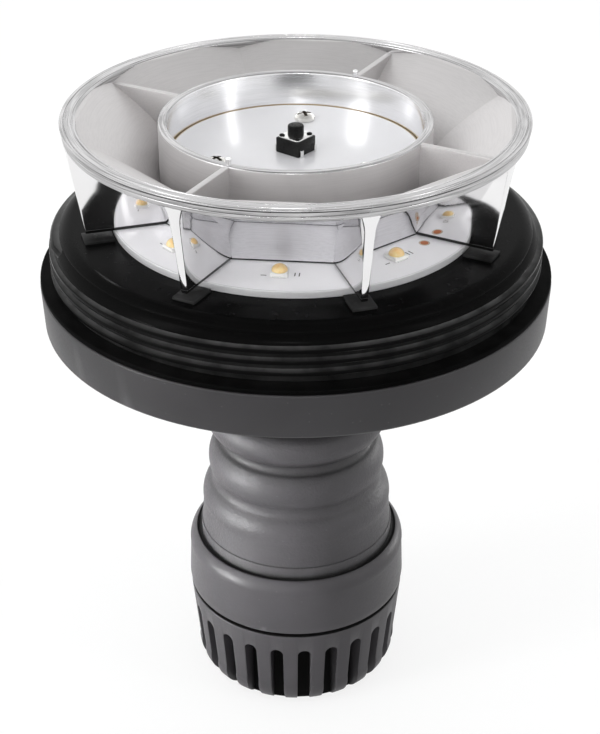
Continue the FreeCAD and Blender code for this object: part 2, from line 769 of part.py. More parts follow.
def cell_wall():
    """Wall of one cell, between its mirror face below and the bowl face above."""
    mirror = mirror_curve(0, 0)
    back = mirror_curve(-REFLECTOR_WALL, REFLECTOR_WALL)
    foot = flat(CELL_APOTHEM - REFLECTOR_WALL, REFLECTOR_Z)
    edges = [
        mirror.toShape(),
        Part.LineSegment(mirror.EndPoint, back.EndPoint).toShape(),
        back.toShape(),
        Part.LineSegment(back.StartPoint, foot).toShape(),
        Part.LineSegment(foot, mirror.StartPoint).toShape(),
    ]
    return straight_cell(Part.Face(Part.Wire(Part.__sortEdges__(edges))))


def fin_taper():
    """Wedge that a fin is trimmed to: thin at its foot, thicker at its head."""
    corners = []
    for half, z in ((FIN / 2, REFLECTOR_Z), (FIN_HEAD / 2, REFLECTOR_TOP_Z)):
        corners.append(Vector(0, -half, z))
        corners.append(Vector(0, half, z))
    outline = [corners[0], corners[1], corners[3], corners[2], corners[0]]
    return Part.Face(Part.makePolygon(outline)).extrude(Vector(RIM_R, 0, 0))


def reflector_fin():
    """Radial mirror fin under the crease between two cells."""
    head_r = RIM_R - FIN_HEAD_INSET
    band_z = REFLECTOR_TOP_Z - RIM_BAND
    curve = mirror_curve(-REFLECTOR_WALL / 2, REFLECTOR_WALL / 2, CORNER_STRETCH)
    head = curve.EndPoint
    foot = curve.StartPoint
    corners = [(head.x, band_z), (head_r, band_z), (FIN_FOOT_R, REFLECTOR_Z), (foot.x, REFLECTOR_Z)]
    face = joined_face(curve, corners)
    face.translate(Vector(0, -FIN_HEAD / 2, 0))
    fin = face.extrude(Vector(0, FIN_HEAD, 0))
    return fin.common(disc(head_r, REFLECTOR_Z, REFLECTOR_RISE)).common(fin_taper())


def reflector():
    walls = around(cell_wall(), CELLS, FIN_ANGLE + CELL_HALF_ANGLE)
    bowl = fused(walls).common(disc(RIM_R, REFLECTOR_Z, REFLECTOR_RISE))
    rim = ring(RIM_R, RIM_R - RIM_LIP, REFLECTOR_TOP_Z - RIM_BAND, RIM_BAND)
    fins = around(reflector_fin(), CELLS, FIN_ANGLE)
    return fused([bowl, rim] + fins)


# Inner tube and driver board

def bowl_outside():
    """All that lies outside the bowl face of one cell, and a seat's gap inside it."""
    out_r = 2 * RIM_R
    curve = mirror_curve(-REFLECTOR_WALL - SEAT_GAP, REFLECTOR_WALL)
    corners = [(out_r, REFLECTOR_TOP_Z), (out_r, REFLECTOR_Z), (curve.StartPoint.x, REFLECTOR_Z)]
    return straight_cell(joined_face(curve, corners))


def tube_web():
    """Web in the bowl from the tube to the rim, over every other fin."""
    low_r = TUBE_R - TUBE_WALL / 2
    length = RIM_R - RIM_LIP - SEAT_GAP - low_r
    height = TUBE_TOP_Z - WEB_DROP - REFLECTOR_Z
    return block((length, WEB, height), (low_r + length / 2, 0), REFLECTOR_Z)


def board_tube():
    ledge_z = DRIVER_Z - LEDGE
    low = ledge_z - TUBE_SKIRT
    tube = ring(TUBE_R, TUBE_IN_R, low, TUBE_TOP_Z - low)
    ledge = ring(TUBE_IN_R + FIT_GAP, TUBE_IN_R - LEDGE_WIDTH, ledge_z, LEDGE)
    pin_at = (TUBE_R - TUBE_WALL / 2, 0)
    pin = disc(RIM_PIN_R, TUBE_TOP_Z - TUBE_DROP, 2 * TUBE_DROP, pin_at)
    web_turn = FIN_ANGLE + 2 * CELL_HALF_ANGLE
    webs = around(tube_web(), CELLS // 2, web_turn)
    pins = around(pin, 2, web_turn)
    outside = around(bowl_outside(), CELLS, FIN_ANGLE + CELL_HALF_ANGLE)
    return fused([tube, ledge] + webs + pins).cut(group(outside))


def driver_screw_places():
    return on_circle(DRIVER_SCREW_CIRCLE, DRIVER_SCREW_COUNT, DRIVER_SCREW_ANGLE)


def driver_board():
    board = disc(TUBE_IN_R - SLIP_GAP, DRIVER_Z, DRIVER_BOARD)
    holes = [disc(DRIVER_SCREW_R + FIT_GAP, DRIVER_Z, DRIVER_BOARD, at) for at in driver_screw_places()]
    return board.cut(group(holes))


def driver_screws():
    places = driver_screw_places()
    return group([screw(SMALL_SCREW, DRIVER_SCREW_LENGTH, at, DRIVER_TOP_Z) for at in places])


def board_spacers():
    height = DRIVER_Z - LED_BOARD_TOP_Z
    depth = DRIVER_SCREW_LENGTH - DRIVER_BOARD
    spacers = []
    for at in driver_screw_places():
        hole = disc(DRIVER_SCREW_R, DRIVER_Z - depth, depth, at)
        spacers.append(disc(SPACER_R, LED_BOARD_TOP_Z, height, at).cut(hole))
    return group(spacers)


def board_header():
    body = block(HEADER_BODY, HEADER_AT, DRIVER_Z - HEADER_BODY[2])
    length = DRIVER_Z - LED_BOARD_TOP_Z
    pins = []
    for k in range(HEADER_PINS):
        x = HEADER_AT[0] + (k - (HEADER_PINS - 1) / 2) * HEADER_PITCH
        pins.append(block((HEADER_PIN, HEADER_PIN, length), (x, HEADER_AT[1]), LED_BOARD_TOP_Z))
    return fused([body] + pins)


def driver_chip():
    return block(CHIP, CHIP_AT, DRIVER_Z - CHIP[2])


def driver_coil():
    z = DRIVER_Z - COIL_HEIGHT
    waist = disc(COIL_WAIST_R, z, COIL_HEIGHT, COIL_AT)
    low = disc(COIL_R, z, COIL_FLANGE, COIL_AT)
    high = disc(COIL_R, DRIVER_Z - COIL_FLANGE, COIL_FLANGE, COIL_AT)
    return fused([waist, low, high])


def filter_capacitor():
    can = disc(CAPACITOR_R, DRIVER_Z - CAPACITOR_HEIGHT, CAPACITOR_HEIGHT, CAPACITOR_AT)
    lower_edge = [e for e in can.Edges if e.BoundBox.ZMax < DRIVER_Z - CAPACITOR_HEIGHT / 2]
    return can.makeFillet(CAPACITOR_ROUND, lower_edge)


# Push switch

def on_switch(shape):
    return spun(shape, SWITCH_ANGLE, SWITCH_AT)


def switch_case():
    case = block((SWITCH, SWITCH, SWITCH_HEIGHT), SWITCH_AT, DRIVER_TOP_Z)
    well = BUTTON_ROOT + BUTTON_TRAVEL + SEAT_GAP
    case = case.cut(disc(BUTTON_R + SLIP_GAP, SWITCH_TOP_Z - well, well, SWITCH_AT))
    return on_switch(case)


def switch_cover():
    side = SWITCH - 2 * SWITCH_COVER_INSET
    plate = block((side, side, SWITCH_COVER), SWITCH_AT, SWITCH_TOP_Z)
    return on_switch(plate.cut(disc(BUTTON_R + RUN_GAP, SWITCH_TOP_Z, SWITCH_COVER, SWITCH_AT)))


def switch_button():
    low = SWITCH_TOP_Z - BUTTON_ROOT
    button = disc(BUTTON_R, low, BUTTON_ROOT + BUTTON_RISE, SWITCH_AT)
    top_edge = [e for e in button.Edges if e.BoundBox.ZMin > SWITCH_TOP_Z]
    return button.makeChamfer(BUTTON_EDGE, top_edge)


def switch_legs():
    """Four bent legs: out of the case's side, then down to the board."""
    legs = []
    knee_z = DRIVER_TOP_Z + LEG_KNEE
    for side in (-1, 1):
        for end in (-1, 1):
            x = SWITCH_AT[0] + end * LEG_SPACING / 2
            inner = SWITCH_AT[1] + side * (SWITCH + LEG_REACH) / 2
            outer = SWITCH_AT[1] + side * (SWITCH / 2 + LEG_REACH - LEG / 2)
            arm = block((LEG_WIDTH, LEG_REACH, LEG), (x, inner), knee_z)
            shin = block((LEG_WIDTH, LEG, knee_z - DRIVER_TOP_Z + LEG), (x, outer), DRIVER_TOP_Z)
            legs.append(on_switch(fused([arm, shin])))
    return group(legs)


PIECES = {
    "clamp_knob": clamp_knob,
    "clamp_collet": clamp_collet,
    "pole_socket": pole_socket,
    "socket_sleeve": socket_sleeve,
    "earth_contact": earth_contact,
    "contact_block": contact_block,
    "centre_contact": centre_contact,
    "contact_spring": contact_spring,
    "flex_neck": flex_neck,
    "positive_lead": lambda: lead(1),
    "negative_lead": lambda: lead(-1),
    "neck_plate": neck_plate,
    "neck_screws": neck_screws,
    "base_cup": base_cup,
    "collar_screws": collar_screws,
    "threaded_collar": threaded_collar,
    "lens_seal": lens_seal,
    "led_board": led_board,
    "led_board_screws": led_board_screws,
    "led_bases": led_bases,
    "led_domes": led_domes,
    "reflector": reflector,
    "board_tube": board_tube,
    "board_spacers": board_spacers,
    "driver_board": driver_board,
    "driver_screws": driver_screws,
    "board_header": board_header,
    "driver_chip": driver_chip,
    "driver_coil": driver_coil,
    "filter_capacitor": filter_capacitor,
    "switch_case": switch_case,
    "switch_cover": switch_cover,
    "switch_legs": switch_legs,
    "switch_button": switch_button,
}


def main():
    os.makedirs("parts", exist_ok=True)
    for name, make in PIECES.items():
        shape = make()
        shape.exportStep("parts/" + name + ".step")
        solids = len(shape.Solids)
        print(name, solids, "solids", round(shape.Volume, 1), "mm3", "valid", shape.isValid())


main()
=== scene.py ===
"""Looks of a round signal light: chromed mirror bowl, threaded collar, rubber neck and clamp knob."""
import math

import bmesh
import bpy
from mathutils import Matrix, Vector


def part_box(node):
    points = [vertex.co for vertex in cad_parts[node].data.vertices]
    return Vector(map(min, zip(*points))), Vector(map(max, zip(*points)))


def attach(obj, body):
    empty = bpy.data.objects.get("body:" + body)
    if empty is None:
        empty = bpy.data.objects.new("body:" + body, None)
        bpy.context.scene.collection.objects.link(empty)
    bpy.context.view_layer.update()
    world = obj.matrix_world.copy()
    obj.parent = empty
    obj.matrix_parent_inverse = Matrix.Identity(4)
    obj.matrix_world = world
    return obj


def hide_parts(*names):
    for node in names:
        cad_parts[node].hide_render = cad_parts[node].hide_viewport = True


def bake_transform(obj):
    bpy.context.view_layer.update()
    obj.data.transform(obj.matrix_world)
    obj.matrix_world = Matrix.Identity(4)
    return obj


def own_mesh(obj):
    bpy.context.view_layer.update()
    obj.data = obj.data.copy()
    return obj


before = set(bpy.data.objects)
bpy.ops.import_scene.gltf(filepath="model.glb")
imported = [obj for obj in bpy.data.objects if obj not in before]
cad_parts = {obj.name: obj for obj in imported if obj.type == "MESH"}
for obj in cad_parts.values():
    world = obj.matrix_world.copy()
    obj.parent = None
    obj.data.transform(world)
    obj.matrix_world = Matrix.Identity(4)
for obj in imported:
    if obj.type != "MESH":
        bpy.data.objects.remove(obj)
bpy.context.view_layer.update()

MM = 0.001


def reach(node):
    """Lowest height, highest height and outer radius of a node, in millimetres."""
    low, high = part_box(node)
    return low.z / MM, high.z / MM, high.x / MM


# Places taken from the frame, in millimetres
KNOB_Z, KNOB_TOP, KNOB_R = reach("clamp_knob")
SLEEVE_Z, SLEEVE_TOP, SLEEVE_R = reach("socket_sleeve")
NECK_Z, NECK_TOP, FLANGE_R = reach("flex_neck")
CUP_Z, CUP_TOP, CUP_R = reach("base_cup")
SEAL_Z, SEAL_TOP, _ = reach("lens_seal")
COLLAR_Z, PAD_TOP, CREST_R = reach("threaded_collar")
BOARD_Z, BOARD_TOP, BOARD_R = reach("led_board")
LED_Z, LED_TOP, _ = reach("led_bases")
DOME_Z, DOME_TOP, _ = reach("led_domes")
MIRROR_Z, MIRROR_TOP, RIM_R = reach("reflector")
_, PIN_TOP, _ = reach("board_tube")
DRIVER_Z, DRIVER_TOP, DRIVER_R = reach("driver_board")
CASE_Z, CASE_TOP, _ = reach("switch_case")
COVER_Z, COVER_TOP, _ = reach("switch_cover")
BUTTON_Z, BUTTON_TOP, _ = reach("switch_button")
SPRING_Z, SPRING_TOP, SPRING_R = reach("contact_spring")
LEAD_Z, LEAD_TOP, _ = reach("positive_lead")
DRIVER_SCREW_Z, DRIVER_SCREW_TOP, _ = reach("driver_screws")
COLLAR_SCREW_Z, COLLAR_SCREW_TOP, _ = reach("collar_screws")

# Steps of a full turn, of a finer one, of an arc and of a rounded corner
TURN_STEPS = 144
FINE_TURN_STEPS = 192
ARC_STEPS = 12
CORNER_STEPS = 4

# Eight mirror cells, with a fin between each two
CELLS = 8
CELL_TURN = 360 / CELLS
FIN_ANGLE = 16.9
LED_ANGLE = FIN_ANGLE + CELL_TURN / 2
WEB_ANGLE = FIN_ANGLE + CELL_TURN
CELL_APOTHEM = 27.25
CELL_FOCUS = 5.45
MIRROR_WALL = 1.2
CREASE_STRETCH = 1 / math.cos(math.radians(CELL_TURN / 2))

# Bends of the neck end at this height
BEND_HIGH = 87.2


# Modelling helpers

def point(radius, height):
    return Vector((radius, 0, height)) * MM


def only(kind, items):
    return [item for item in items if isinstance(item, kind)]


def arc(bm, start, step):
    """Carries a wire on from a vertex along an arc to (radius, height), swelling by a sag to its right."""
    x, z, sag = step
    half_chord = (point(x, z) - start.co) / 2
    half = half_chord.length / MM
    right = Vector((half_chord.z, 0, -half_chord.x)).normalized()
    radius = (half * half + sag * sag) / (2 * sag)
    swept = bmesh.ops.spin(
        bm, geom=[start], cent=start.co + half_chord + right * (sag - radius) * MM, axis=(0, 1, 0),
        angle=-4 * math.atan2(sag, half), steps=ARC_STEPS)
    return only(bmesh.types.BMVert, swept["geom_last"])[0]


def wire(*steps, closed=True):
    """Wire in the XZ plane through (radius, height) points; a third number makes the stretch an arc."""
    bm = bmesh.new()
    first = bm.verts.new(point(*steps[0]))
    last = first
    for step in steps[1:]:
        if len(step) == 3:
            last = arc(bm, last, step)
            continue
        corner = bm.verts.new(point(*step))
        bm.edges.new((last, corner))
        last = corner
    if closed:
        bm.edges.new((last, first))
    return bm


def ring(in_r, out_r, low, high):
    """Wire of a flat ring's section, or of a disc's where there is no inner radius."""
    return wire((in_r, low), (out_r, low), (out_r, high), (in_r, high), closed=in_r > 0)


def soften(bm, size, *corners):
    """Rounds the corners of a wire that lie nearest the given points."""
    picked = []
    for corner in corners:
        place = point(*corner)
        picked.append(min(bm.verts, key=lambda vert: (vert.co - place).length))
    bmesh.ops.bevel(
        bm, geom=picked, offset=size * MM, offset_type="OFFSET", segments=CORNER_STEPS, profile=0.5,
        affect="VERTICES", material=-1)
    return bm


def tidied(bm):
    bmesh.ops.remove_doubles(bm, verts=bm.verts, dist=0.0005 * MM)
    bmesh.ops.recalc_face_normals(bm, faces=bm.faces)
    return bm


def everything(bm):
    return bm.verts[:] + bm.edges[:] + bm.faces[:]


def spun(bm, degrees, steps, **how):
    """Spins all of a shape round the axis."""
    bmesh.ops.spin(
        bm, geom=everything(bm), cent=(0, 0, 0), axis=(0, 0, 1), angle=math.radians(degrees), steps=steps,
        **how)
    return bm


def turned(bm, steps=TURN_STEPS):
    """Turns a wire into a closed shape round the axis."""
    return tidied(spun(bm, 360, steps, use_merge=True))


def moved(bm, x, y, z):
    bmesh.ops.translate(bm, vec=Vector((x, y, z)) * MM, verts=bm.verts)
    return bm


def swung(bm, degrees, axis="Z"):
    turn = Matrix.Rotation(math.radians(degrees), 3, axis)
    bmesh.ops.rotate(bm, cent=(0, 0, 0), matrix=turn, verts=bm.verts)
    return bm


def repeated(bm, count, first=0.0):
    """Swings a shape to its first angle and copies it round the axis."""
    return spun(swung(bm, first), 360 - 360 / count, count - 1, use_duplicate=True)


def pulled(bm, edges, shift):
    """Pulls edges out into faces by a shift, and gives the edges at the far end."""
    grown = bmesh.ops.extrude_edge_only(bm, edges=edges)["geom"]
    bmesh.ops.translate(bm, vec=Vector(shift) * MM, verts=only(bmesh.types.BMVert, grown))
    return only(bmesh.types.BMEdge, grown)


def eased(bm, edges, size, segments=2):
    bmesh.ops.bevel(
        bm, geom=edges, offset=size * MM, offset_type="OFFSET", segments=segments, profile=0.5,
        affect="EDGES", material=-1, clamp_overlap=True)
    return bm


def brick(length, width, height, edge=0.0):
    """Block that stands on the middle of its foot."""
    bm = bmesh.new()
    bmesh.ops.create_cube(bm, size=MM)
    bmesh.ops.scale(bm, vec=(length, width, height), verts=bm.verts)
    if edge:
        eased(bm, bm.edges[:], edge)
    return moved(bm, 0, 0, height / 2)


def slab(outline, thickness, edge):
    """Plate of a given thickness from a closed wire, set across the wire's plane."""
    bmesh.ops.contextual_create(outline, geom=outline.edges[:])
    grown = bmesh.ops.extrude_face_region(outline, geom=outline.faces[:])
    far = only(bmesh.types.BMVert, grown["geom"])
    bmesh.ops.translate(outline, vec=(0, thickness * MM, 0), verts=far)
    moved(outline, 0, -thickness / 2, 0)
    rims = [e for e in outline.edges if abs(e.verts[0].co.y - e.verts[1].co.y) < 0.1 * thickness * MM]
    return tidied(eased(outline, rims, edge))


def together(*parts):
    whole = bmesh.new()
    for part in parts:
        mesh = bpy.data.meshes.new("part")
        part.to_mesh(mesh)
        part.free()
        whole.from_mesh(mesh)
        bpy.data.meshes.remove(mesh)
    return whole


def placed(name, bm, finishes=()):
    """Makes an object of a shape and puts it into the scene."""
    mesh = bpy.data.meshes.new(name)
    bm.to_mesh(mesh)
    bm.free()
    for finish in finishes:
        mesh.materials.append(finish)
    made = bpy.data.objects.new(name, mesh)
    bpy.context.scene.collection.objects.link(made)
    return made


def carved(bm, cutter):
    """Cuts one closed shape out of another."""
    blank, tool = placed("blank", bm), placed("tool", cutter)
    cut = blank.modifiers.new("cut", "BOOLEAN")
    cut.operation = "DIFFERENCE"
    cut.solver = "EXACT"
    cut.object = tool
    graph = bpy.context.evaluated_depsgraph_get()
    mesh = bpy.data.meshes.new_from_object(blank.evaluated_get(graph))
    result = bmesh.new()
    result.from_mesh(mesh)
    for made in (blank, tool):
        bpy.data.meshes.remove(made.data)
    bpy.data.meshes.remove(mesh)
    return tidied(result)


def sharp_edges(bm, degrees):
    limit = math.radians(degrees)
    return [e for e in bm.edges if len(e.link_faces) == 2 and e.calc_face_angle() > limit]


def piece(name, bm, finishes, nodes=(), body="head", crease=35):
    """Makes an object of a shape, with its finishes, the nodes that it stands for and its body."""
    made = placed(name, bm, finishes)
    made.data.shade_smooth()
    made.data.set_sharp_from_angle(angle=math.radians(crease))
    if body:
        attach(made, body)
    if nodes:
        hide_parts(*nodes)
    return made


# Shader helpers

def feed(tree, socket, value):
    if isinstance(value, bpy.types.NodeSocket):
        tree.links.new(value, socket)
    else:
        socket.default_value = value


def wired(tree, made, **inputs):
    """Feeds the inputs of a node; an underscore in an input's name stands for a space."""
    for key, value in inputs.items():
        feed(tree, made.inputs[key.replace("_", " ")], value)
    return made


def node(tree, kind, settings=None, **inputs):
    """Adds a shader node with its settings and inputs."""
    made = tree.nodes.new("ShaderNode" + kind)
    for key, value in (settings or {}).items():
        setattr(made, key, value)
    return wired(tree, made, **inputs)


def maths(tree, operation, a, b):
    made = node(tree, "Math", {"operation": operation})
    feed(tree, made.inputs[0], a)
    feed(tree, made.inputs[1], b)
    return made.outputs[0]


def product(tree, a, b):
    return maths(tree, "MULTIPLY", a, b)


def mixed(tree, factor, a, b):
    """Mixes two colours, which have the mix node's sockets 6, 7 and 2."""
    made = node(tree, "Mix", {"data_type": "RGBA"})
    feed(tree, made.inputs[0], factor)
    feed(tree, made.inputs[6], a)
    feed(tree, made.inputs[7], b)
    return made.outputs[2]


def ranged(tree, value, low, high, to_low=0.0, to_high=1.0):
    made = node(tree, "MapRange", Value=value, From_Min=low, From_Max=high, To_Min=to_low, To_Max=to_high)
    return made.outputs[0]


def object_place(tree):
    return node(tree, "TexCoord").outputs["Object"]


def noise(tree, place, scale, detail, roughness=0.5):
    made = node(tree, "TexNoise", Vector=place, Scale=scale, Detail=detail, Roughness=roughness)
    return made.outputs[0]


def grey(level):
    return (level, level, level, 1.0)


def slate(level):
    """Grey with the faint violet of the moulded parts."""
    return (level, 0.95 * level, 1.03 * level, 1.0)


def dimmed(colour, share):
    return tuple(share * part for part in colour[:3]) + (1.0,)


# Greys mixed into a finish: painted shade in hollows, edge wear with painted highlight, dust, plating streaks
# and painted shade along mirror feet
HOLLOW_SHADE = grey(0.003)
WEAR_AND_HIGHLIGHT_GREY = grey(0.55)
DUST = grey(0.7)
BOARD_DUST = grey(0.3)
PLATING_STREAK = grey(0.12)
FOOT_SHADE = grey(0.006)


def new_group(name, inputs, outputs):
    """Empty node group with float sockets; gives the tree, its input node and its output node."""
    tree = bpy.data.node_groups.new(name, "ShaderNodeTree")
    for label, value in inputs.items():
        made = tree.interface.new_socket(label, in_out="INPUT", socket_type="NodeSocketFloat")
        made.default_value = value
    for label in outputs:
        tree.interface.new_socket(label, in_out="OUTPUT", socket_type="NodeSocketFloat")
    return tree, tree.nodes.new("NodeGroupInput"), tree.nodes.new("NodeGroupOutput")


def from_axis(tree):
    """Distance from the axis, in metres."""
    flat = node(tree, "VectorMath", {"operation": "MULTIPLY"})
    feed(tree, flat.inputs[0], object_place(tree))
    flat.inputs[1].default_value = (1.0, 1.0, 0.0)
    far = node(tree, "VectorMath", {"operation": "LENGTH"})
    feed(tree, far.inputs[0], flat.outputs[0])
    return far.outputs["Value"]


def height_above(tree):
    """Height above the foot, in metres."""
    return node(tree, "SeparateXYZ", Vector=object_place(tree)).outputs["Z"]


def moulded_skin_group():
    """Grain height, broad clouding and dust specks of a moulded surface."""
    tree, given, out = new_group(
        "moulded_skin", {"Grain Scale": 2500.0, "Cloud Scale": 45.0}, ("Grain", "Cloud", "Dust"))
    place = object_place(tree)
    coarse = noise(tree, place, given.outputs["Grain Scale"], detail=3.0, roughness=0.6)
    cells = node(
        tree, "TexVoronoi", {"feature": "SMOOTH_F1"}, Vector=place,
        Scale=product(tree, given.outputs["Grain Scale"], 0.7), Smoothness=0.6)
    grain = maths(tree, "ADD", coarse, product(tree, cells.outputs["Distance"], 0.5))
    cloud = noise(tree, place, given.outputs["Cloud Scale"], detail=4.0, roughness=0.55)
    dots = node(tree, "TexVoronoi", Vector=place, Scale=700.0, Randomness=1.0)
    spot = ranged(tree, dots.outputs["Distance"], 0.05, 0.16, 1.0, 0.0)
    chance = node(tree, "SeparateColor", Color=dots.outputs["Color"])
    picked = ranged(tree, chance.outputs[0], 0.72, 0.78)
    wired(tree, out, Grain=grain, Cloud=ranged(tree, cloud, 0.3, 0.7), Dust=product(tree, spot, picked))
    return tree


def edge_wear_and_highlight_group():
    """Mask of sharp outer edges to lighten, for wear from hands and tools and, on the collar and its thread,
    for a painted highlight.
    """
    tree, _, out = new_group("edge_wear_and_highlight", {}, ("Mask",))
    edge = node(tree, "NewGeometry").outputs["Pointiness"]
    wear_and_highlight_edges = ranged(tree, edge, 0.52, 0.62)
    patchy = noise(tree, object_place(tree), 180.0, detail=3.0)
    broken = ranged(tree, patchy, 0.35, 0.65, 0.35, 1.0)
    wired(tree, out, Mask=product(tree, wear_and_highlight_edges, broken))
    return tree


def drawn_lines_group():
    """Fine lines along one direction, with a broad haze, for worked or plated metal."""
    tree, given, out = new_group("drawn_lines", {"Haze Scale": 70.0}, ("Lines", "Haze"))
    place = object_place(tree)
    stretched = node(tree, "Mapping", Vector=place, Scale=(1.0, 1.0, 0.06))
    lines = noise(tree, stretched.outputs[0], 900.0, detail=2.0)
    haze = noise(tree, place, given.outputs["Haze Scale"], detail=3.0)
    wired(tree, out, Lines=lines, Haze=ranged(tree, haze, 0.3, 0.7))
    return tree


def ring_streaks_group():
    """Fine streaks round the axis, as a mould leaves them on a bright ring."""
    tree, _, out = new_group("ring_streaks", {}, ("Streak",))
    place = node(tree, "SeparateXYZ", Vector=object_place(tree))
    fineness, drift = 2600.0, 80.0
    across = product(tree, from_axis(tree), fineness)
    up = product(tree, place.outputs["Z"], fineness)
    squeezed = node(
        tree, "CombineXYZ", X=maths(tree, "ADD", across, product(tree, place.outputs["X"], drift)),
        Y=maths(tree, "ADD", up, product(tree, place.outputs["Y"], drift)))
    streak = noise(tree, squeezed.outputs[0], 1.0, detail=3.0, roughness=0.65)
    wired(tree, out, Streak=ranged(tree, streak, 0.42, 0.64))
    return tree


MOULDED_SKIN = moulded_skin_group()
EDGE_WEAR_AND_HIGHLIGHT = edge_wear_and_highlight_group()
DRAWN_LINES = drawn_lines_group()
RING_STREAKS = ring_streaks_group()


def grouped(tree, group, **inputs):
    return node(tree, "Group", {"node_tree": group}, **inputs)


def blank_finish(name, **shader):
    """New material; gives it, its tree and its shader, with the shader's plain values set."""
    made = bpy.data.materials.new(name)
    made.use_nodes = True
    tree = made.node_tree
    bsdf = wired(tree, tree.nodes["Principled BSDF"], **shader)
    return made, tree, bsdf


def bumped(tree, bsdf, height, strength, distance):
    bump = node(tree, "Bump", Strength=strength, Distance=distance * MM, Height=height)
    wired(tree, bsdf, Normal=bump.outputs[0])


FINE_RELIEF = 0.02


def moulded(
        name, dark, pale, rough, grain=2500.0, depth=0.15, relief=0.05, dust=0.04, wear_and_highlight=0.2, hollow=0.0,
        specular=0.5):
    """Moulded plastic or rubber: clouded, grained, dusty, with edges lightened as wear and as painted
    highlight, and painted shade in narrow hollows.
    """
    made, tree, bsdf = blank_finish(name, Specular_IOR_Level=specular)
    skin = grouped(tree, MOULDED_SKIN, Grain_Scale=grain)
    wear_and_highlight_edges = grouped(tree, EDGE_WEAR_AND_HIGHLIGHT)
    colour = mixed(tree, skin.outputs["Cloud"], dark, pale)
    # Painted shade: ambient occlusion darkens the colour towards near-black in narrow hollows.
    if hollow:
        open_sky = node(tree, "AmbientOcclusion", {"samples": 8}, Distance=hollow * MM).outputs["AO"]
        colour = mixed(tree, ranged(tree, open_sky, 0.55, 0.96, 0.95, 0.0), colour, HOLLOW_SHADE)
    # Lightens sharp edges: wear, and a painted highlight where the amount is raised on the near-black collar
    # and thread.
    with_wear_and_highlight = mixed(tree, product(tree, wear_and_highlight_edges.outputs["Mask"], wear_and_highlight), colour, WEAR_AND_HIGHLIGHT_GREY)
    dusty = mixed(tree, product(tree, skin.outputs["Dust"], dust), with_wear_and_highlight, DUST)
    wired(tree, bsdf, Base_Color=dusty, Roughness=ranged(tree, skin.outputs["Grain"], 0.2, 1.0, *rough))
    bumped(tree, bsdf, skin.outputs["Grain"], depth, relief)
    return made


def metal(name, dark, pale, rough):
    """Bare or plated metal: hazy colour, drawn lines and uneven gloss."""
    made, tree, bsdf = blank_finish(name, Metallic=1.0)
    marks = grouped(tree, DRAWN_LINES)
    haze = marks.outputs["Haze"]
    wired(
        tree, bsdf, Base_Color=mixed(tree, haze, dark, pale), Roughness=ranged(tree, haze, 0.0, 1.0, *rough))
    bumped(tree, bsdf, marks.outputs["Lines"], 0.05, FINE_RELIEF)
    return made


def board(name, mask, core, mask_from, mask_to, rough, metal_core):
    """Circuit board: pale mask above a height and out to a radius, and its core elsewhere."""
    made, tree, bsdf = blank_finish(name, Coat_Weight=0.4, Coat_Roughness=0.08)
    skin = grouped(tree, MOULDED_SKIN, Grain_Scale=4000.0, Cloud_Scale=60.0)
    above = ranged(tree, height_above(tree), (mask_from - 0.02) * MM, (mask_from + 0.02) * MM)
    within = ranged(tree, from_axis(tree), (mask_to - 0.03) * MM, (mask_to + 0.03) * MM, 1.0, 0.0)
    on_top = product(tree, above, within)
    printed = mixed(tree, skin.outputs["Cloud"], mask, dimmed(mask, 0.95))
    dusty = mixed(tree, product(tree, skin.outputs["Dust"], 0.12), printed, BOARD_DUST)
    wired(
        tree, bsdf, Base_Color=mixed(tree, on_top, core, dusty),
        Metallic=ranged(tree, on_top, 0.0, 1.0, metal_core, 0.0),
        Roughness=ranged(tree, skin.outputs["Cloud"], 0.0, 1.0, *rough))
    bumped(tree, bsdf, skin.outputs["Grain"], 0.05, FINE_RELIEF)
    return made


def phosphor():
    """Yellow light source under a clear dome."""
    made, tree, bsdf = blank_finish(
        "yellow_phosphor", Coat_Weight=0.8, Coat_Roughness=0.05, Subsurface_Weight=0.2,
        Subsurface_Scale=0.5 * MM)
    skin = grouped(tree, MOULDED_SKIN, Grain_Scale=6000.0, Cloud_Scale=1200.0)
    colour = mixed(tree, skin.outputs["Cloud"], (0.90, 0.58, 0.20, 1), (0.96, 0.74, 0.38, 1))
    wired(tree, bsdf, Base_Color=colour, Roughness=ranged(tree, skin.outputs["Grain"], 0.2, 1.0, 0.25, 0.45))
    bumped(tree, bsdf, skin.outputs["Grain"], 0.08, FINE_RELIEF)
    return made


RIPPLE_RELIEF = 0.3


def mirror(name, tone, rough, ripple, depth, streak=0.0, foot=0.35):
    """Vacuum metallised plastic: slightly rippled and streaked, with a dark non-metallic band along its foot
    as painted shade of the gap beneath.
    """
    made, tree, bsdf = blank_finish(name)
    haze = grouped(tree, DRAWN_LINES, Haze_Scale=ripple)
    rings = grouped(tree, RING_STREAKS)
    plated = mixed(tree, haze.outputs["Haze"], dimmed(tone, 0.92), dimmed(tone, 1.0))
    streaked = mixed(tree, product(tree, rings.outputs["Streak"], streak), plated, PLATING_STREAK)
    # Painted shade: a near-black, non-metallic band along the foot stands for the shadowed gap under the
    # mirror.
    foot_shade_z = MIRROR_Z + foot
    bare = ranged(tree, height_above(tree), (foot_shade_z - 0.05) * MM, foot_shade_z * MM, 1.0, 0.0)
    wired(
        tree, bsdf, Base_Color=mixed(tree, bare, streaked, FOOT_SHADE),
        Metallic=maths(tree, "SUBTRACT", 1.0, bare),
        Roughness=ranged(tree, haze.outputs["Haze"], 0.0, 1.0, *rough))
    bumped(tree, bsdf, haze.outputs["Haze"], depth, RIPPLE_RELIEF)
    return made


# Finishes: name, dark and pale colour or tone, range of roughness, and what differs from the usual

KNOB_GREY = moulded(
    "knob_grey", slate(0.044), slate(0.055), (0.38, 0.50), grain=2600.0, depth=0.20, hollow=2.5,
    specular=0.3)
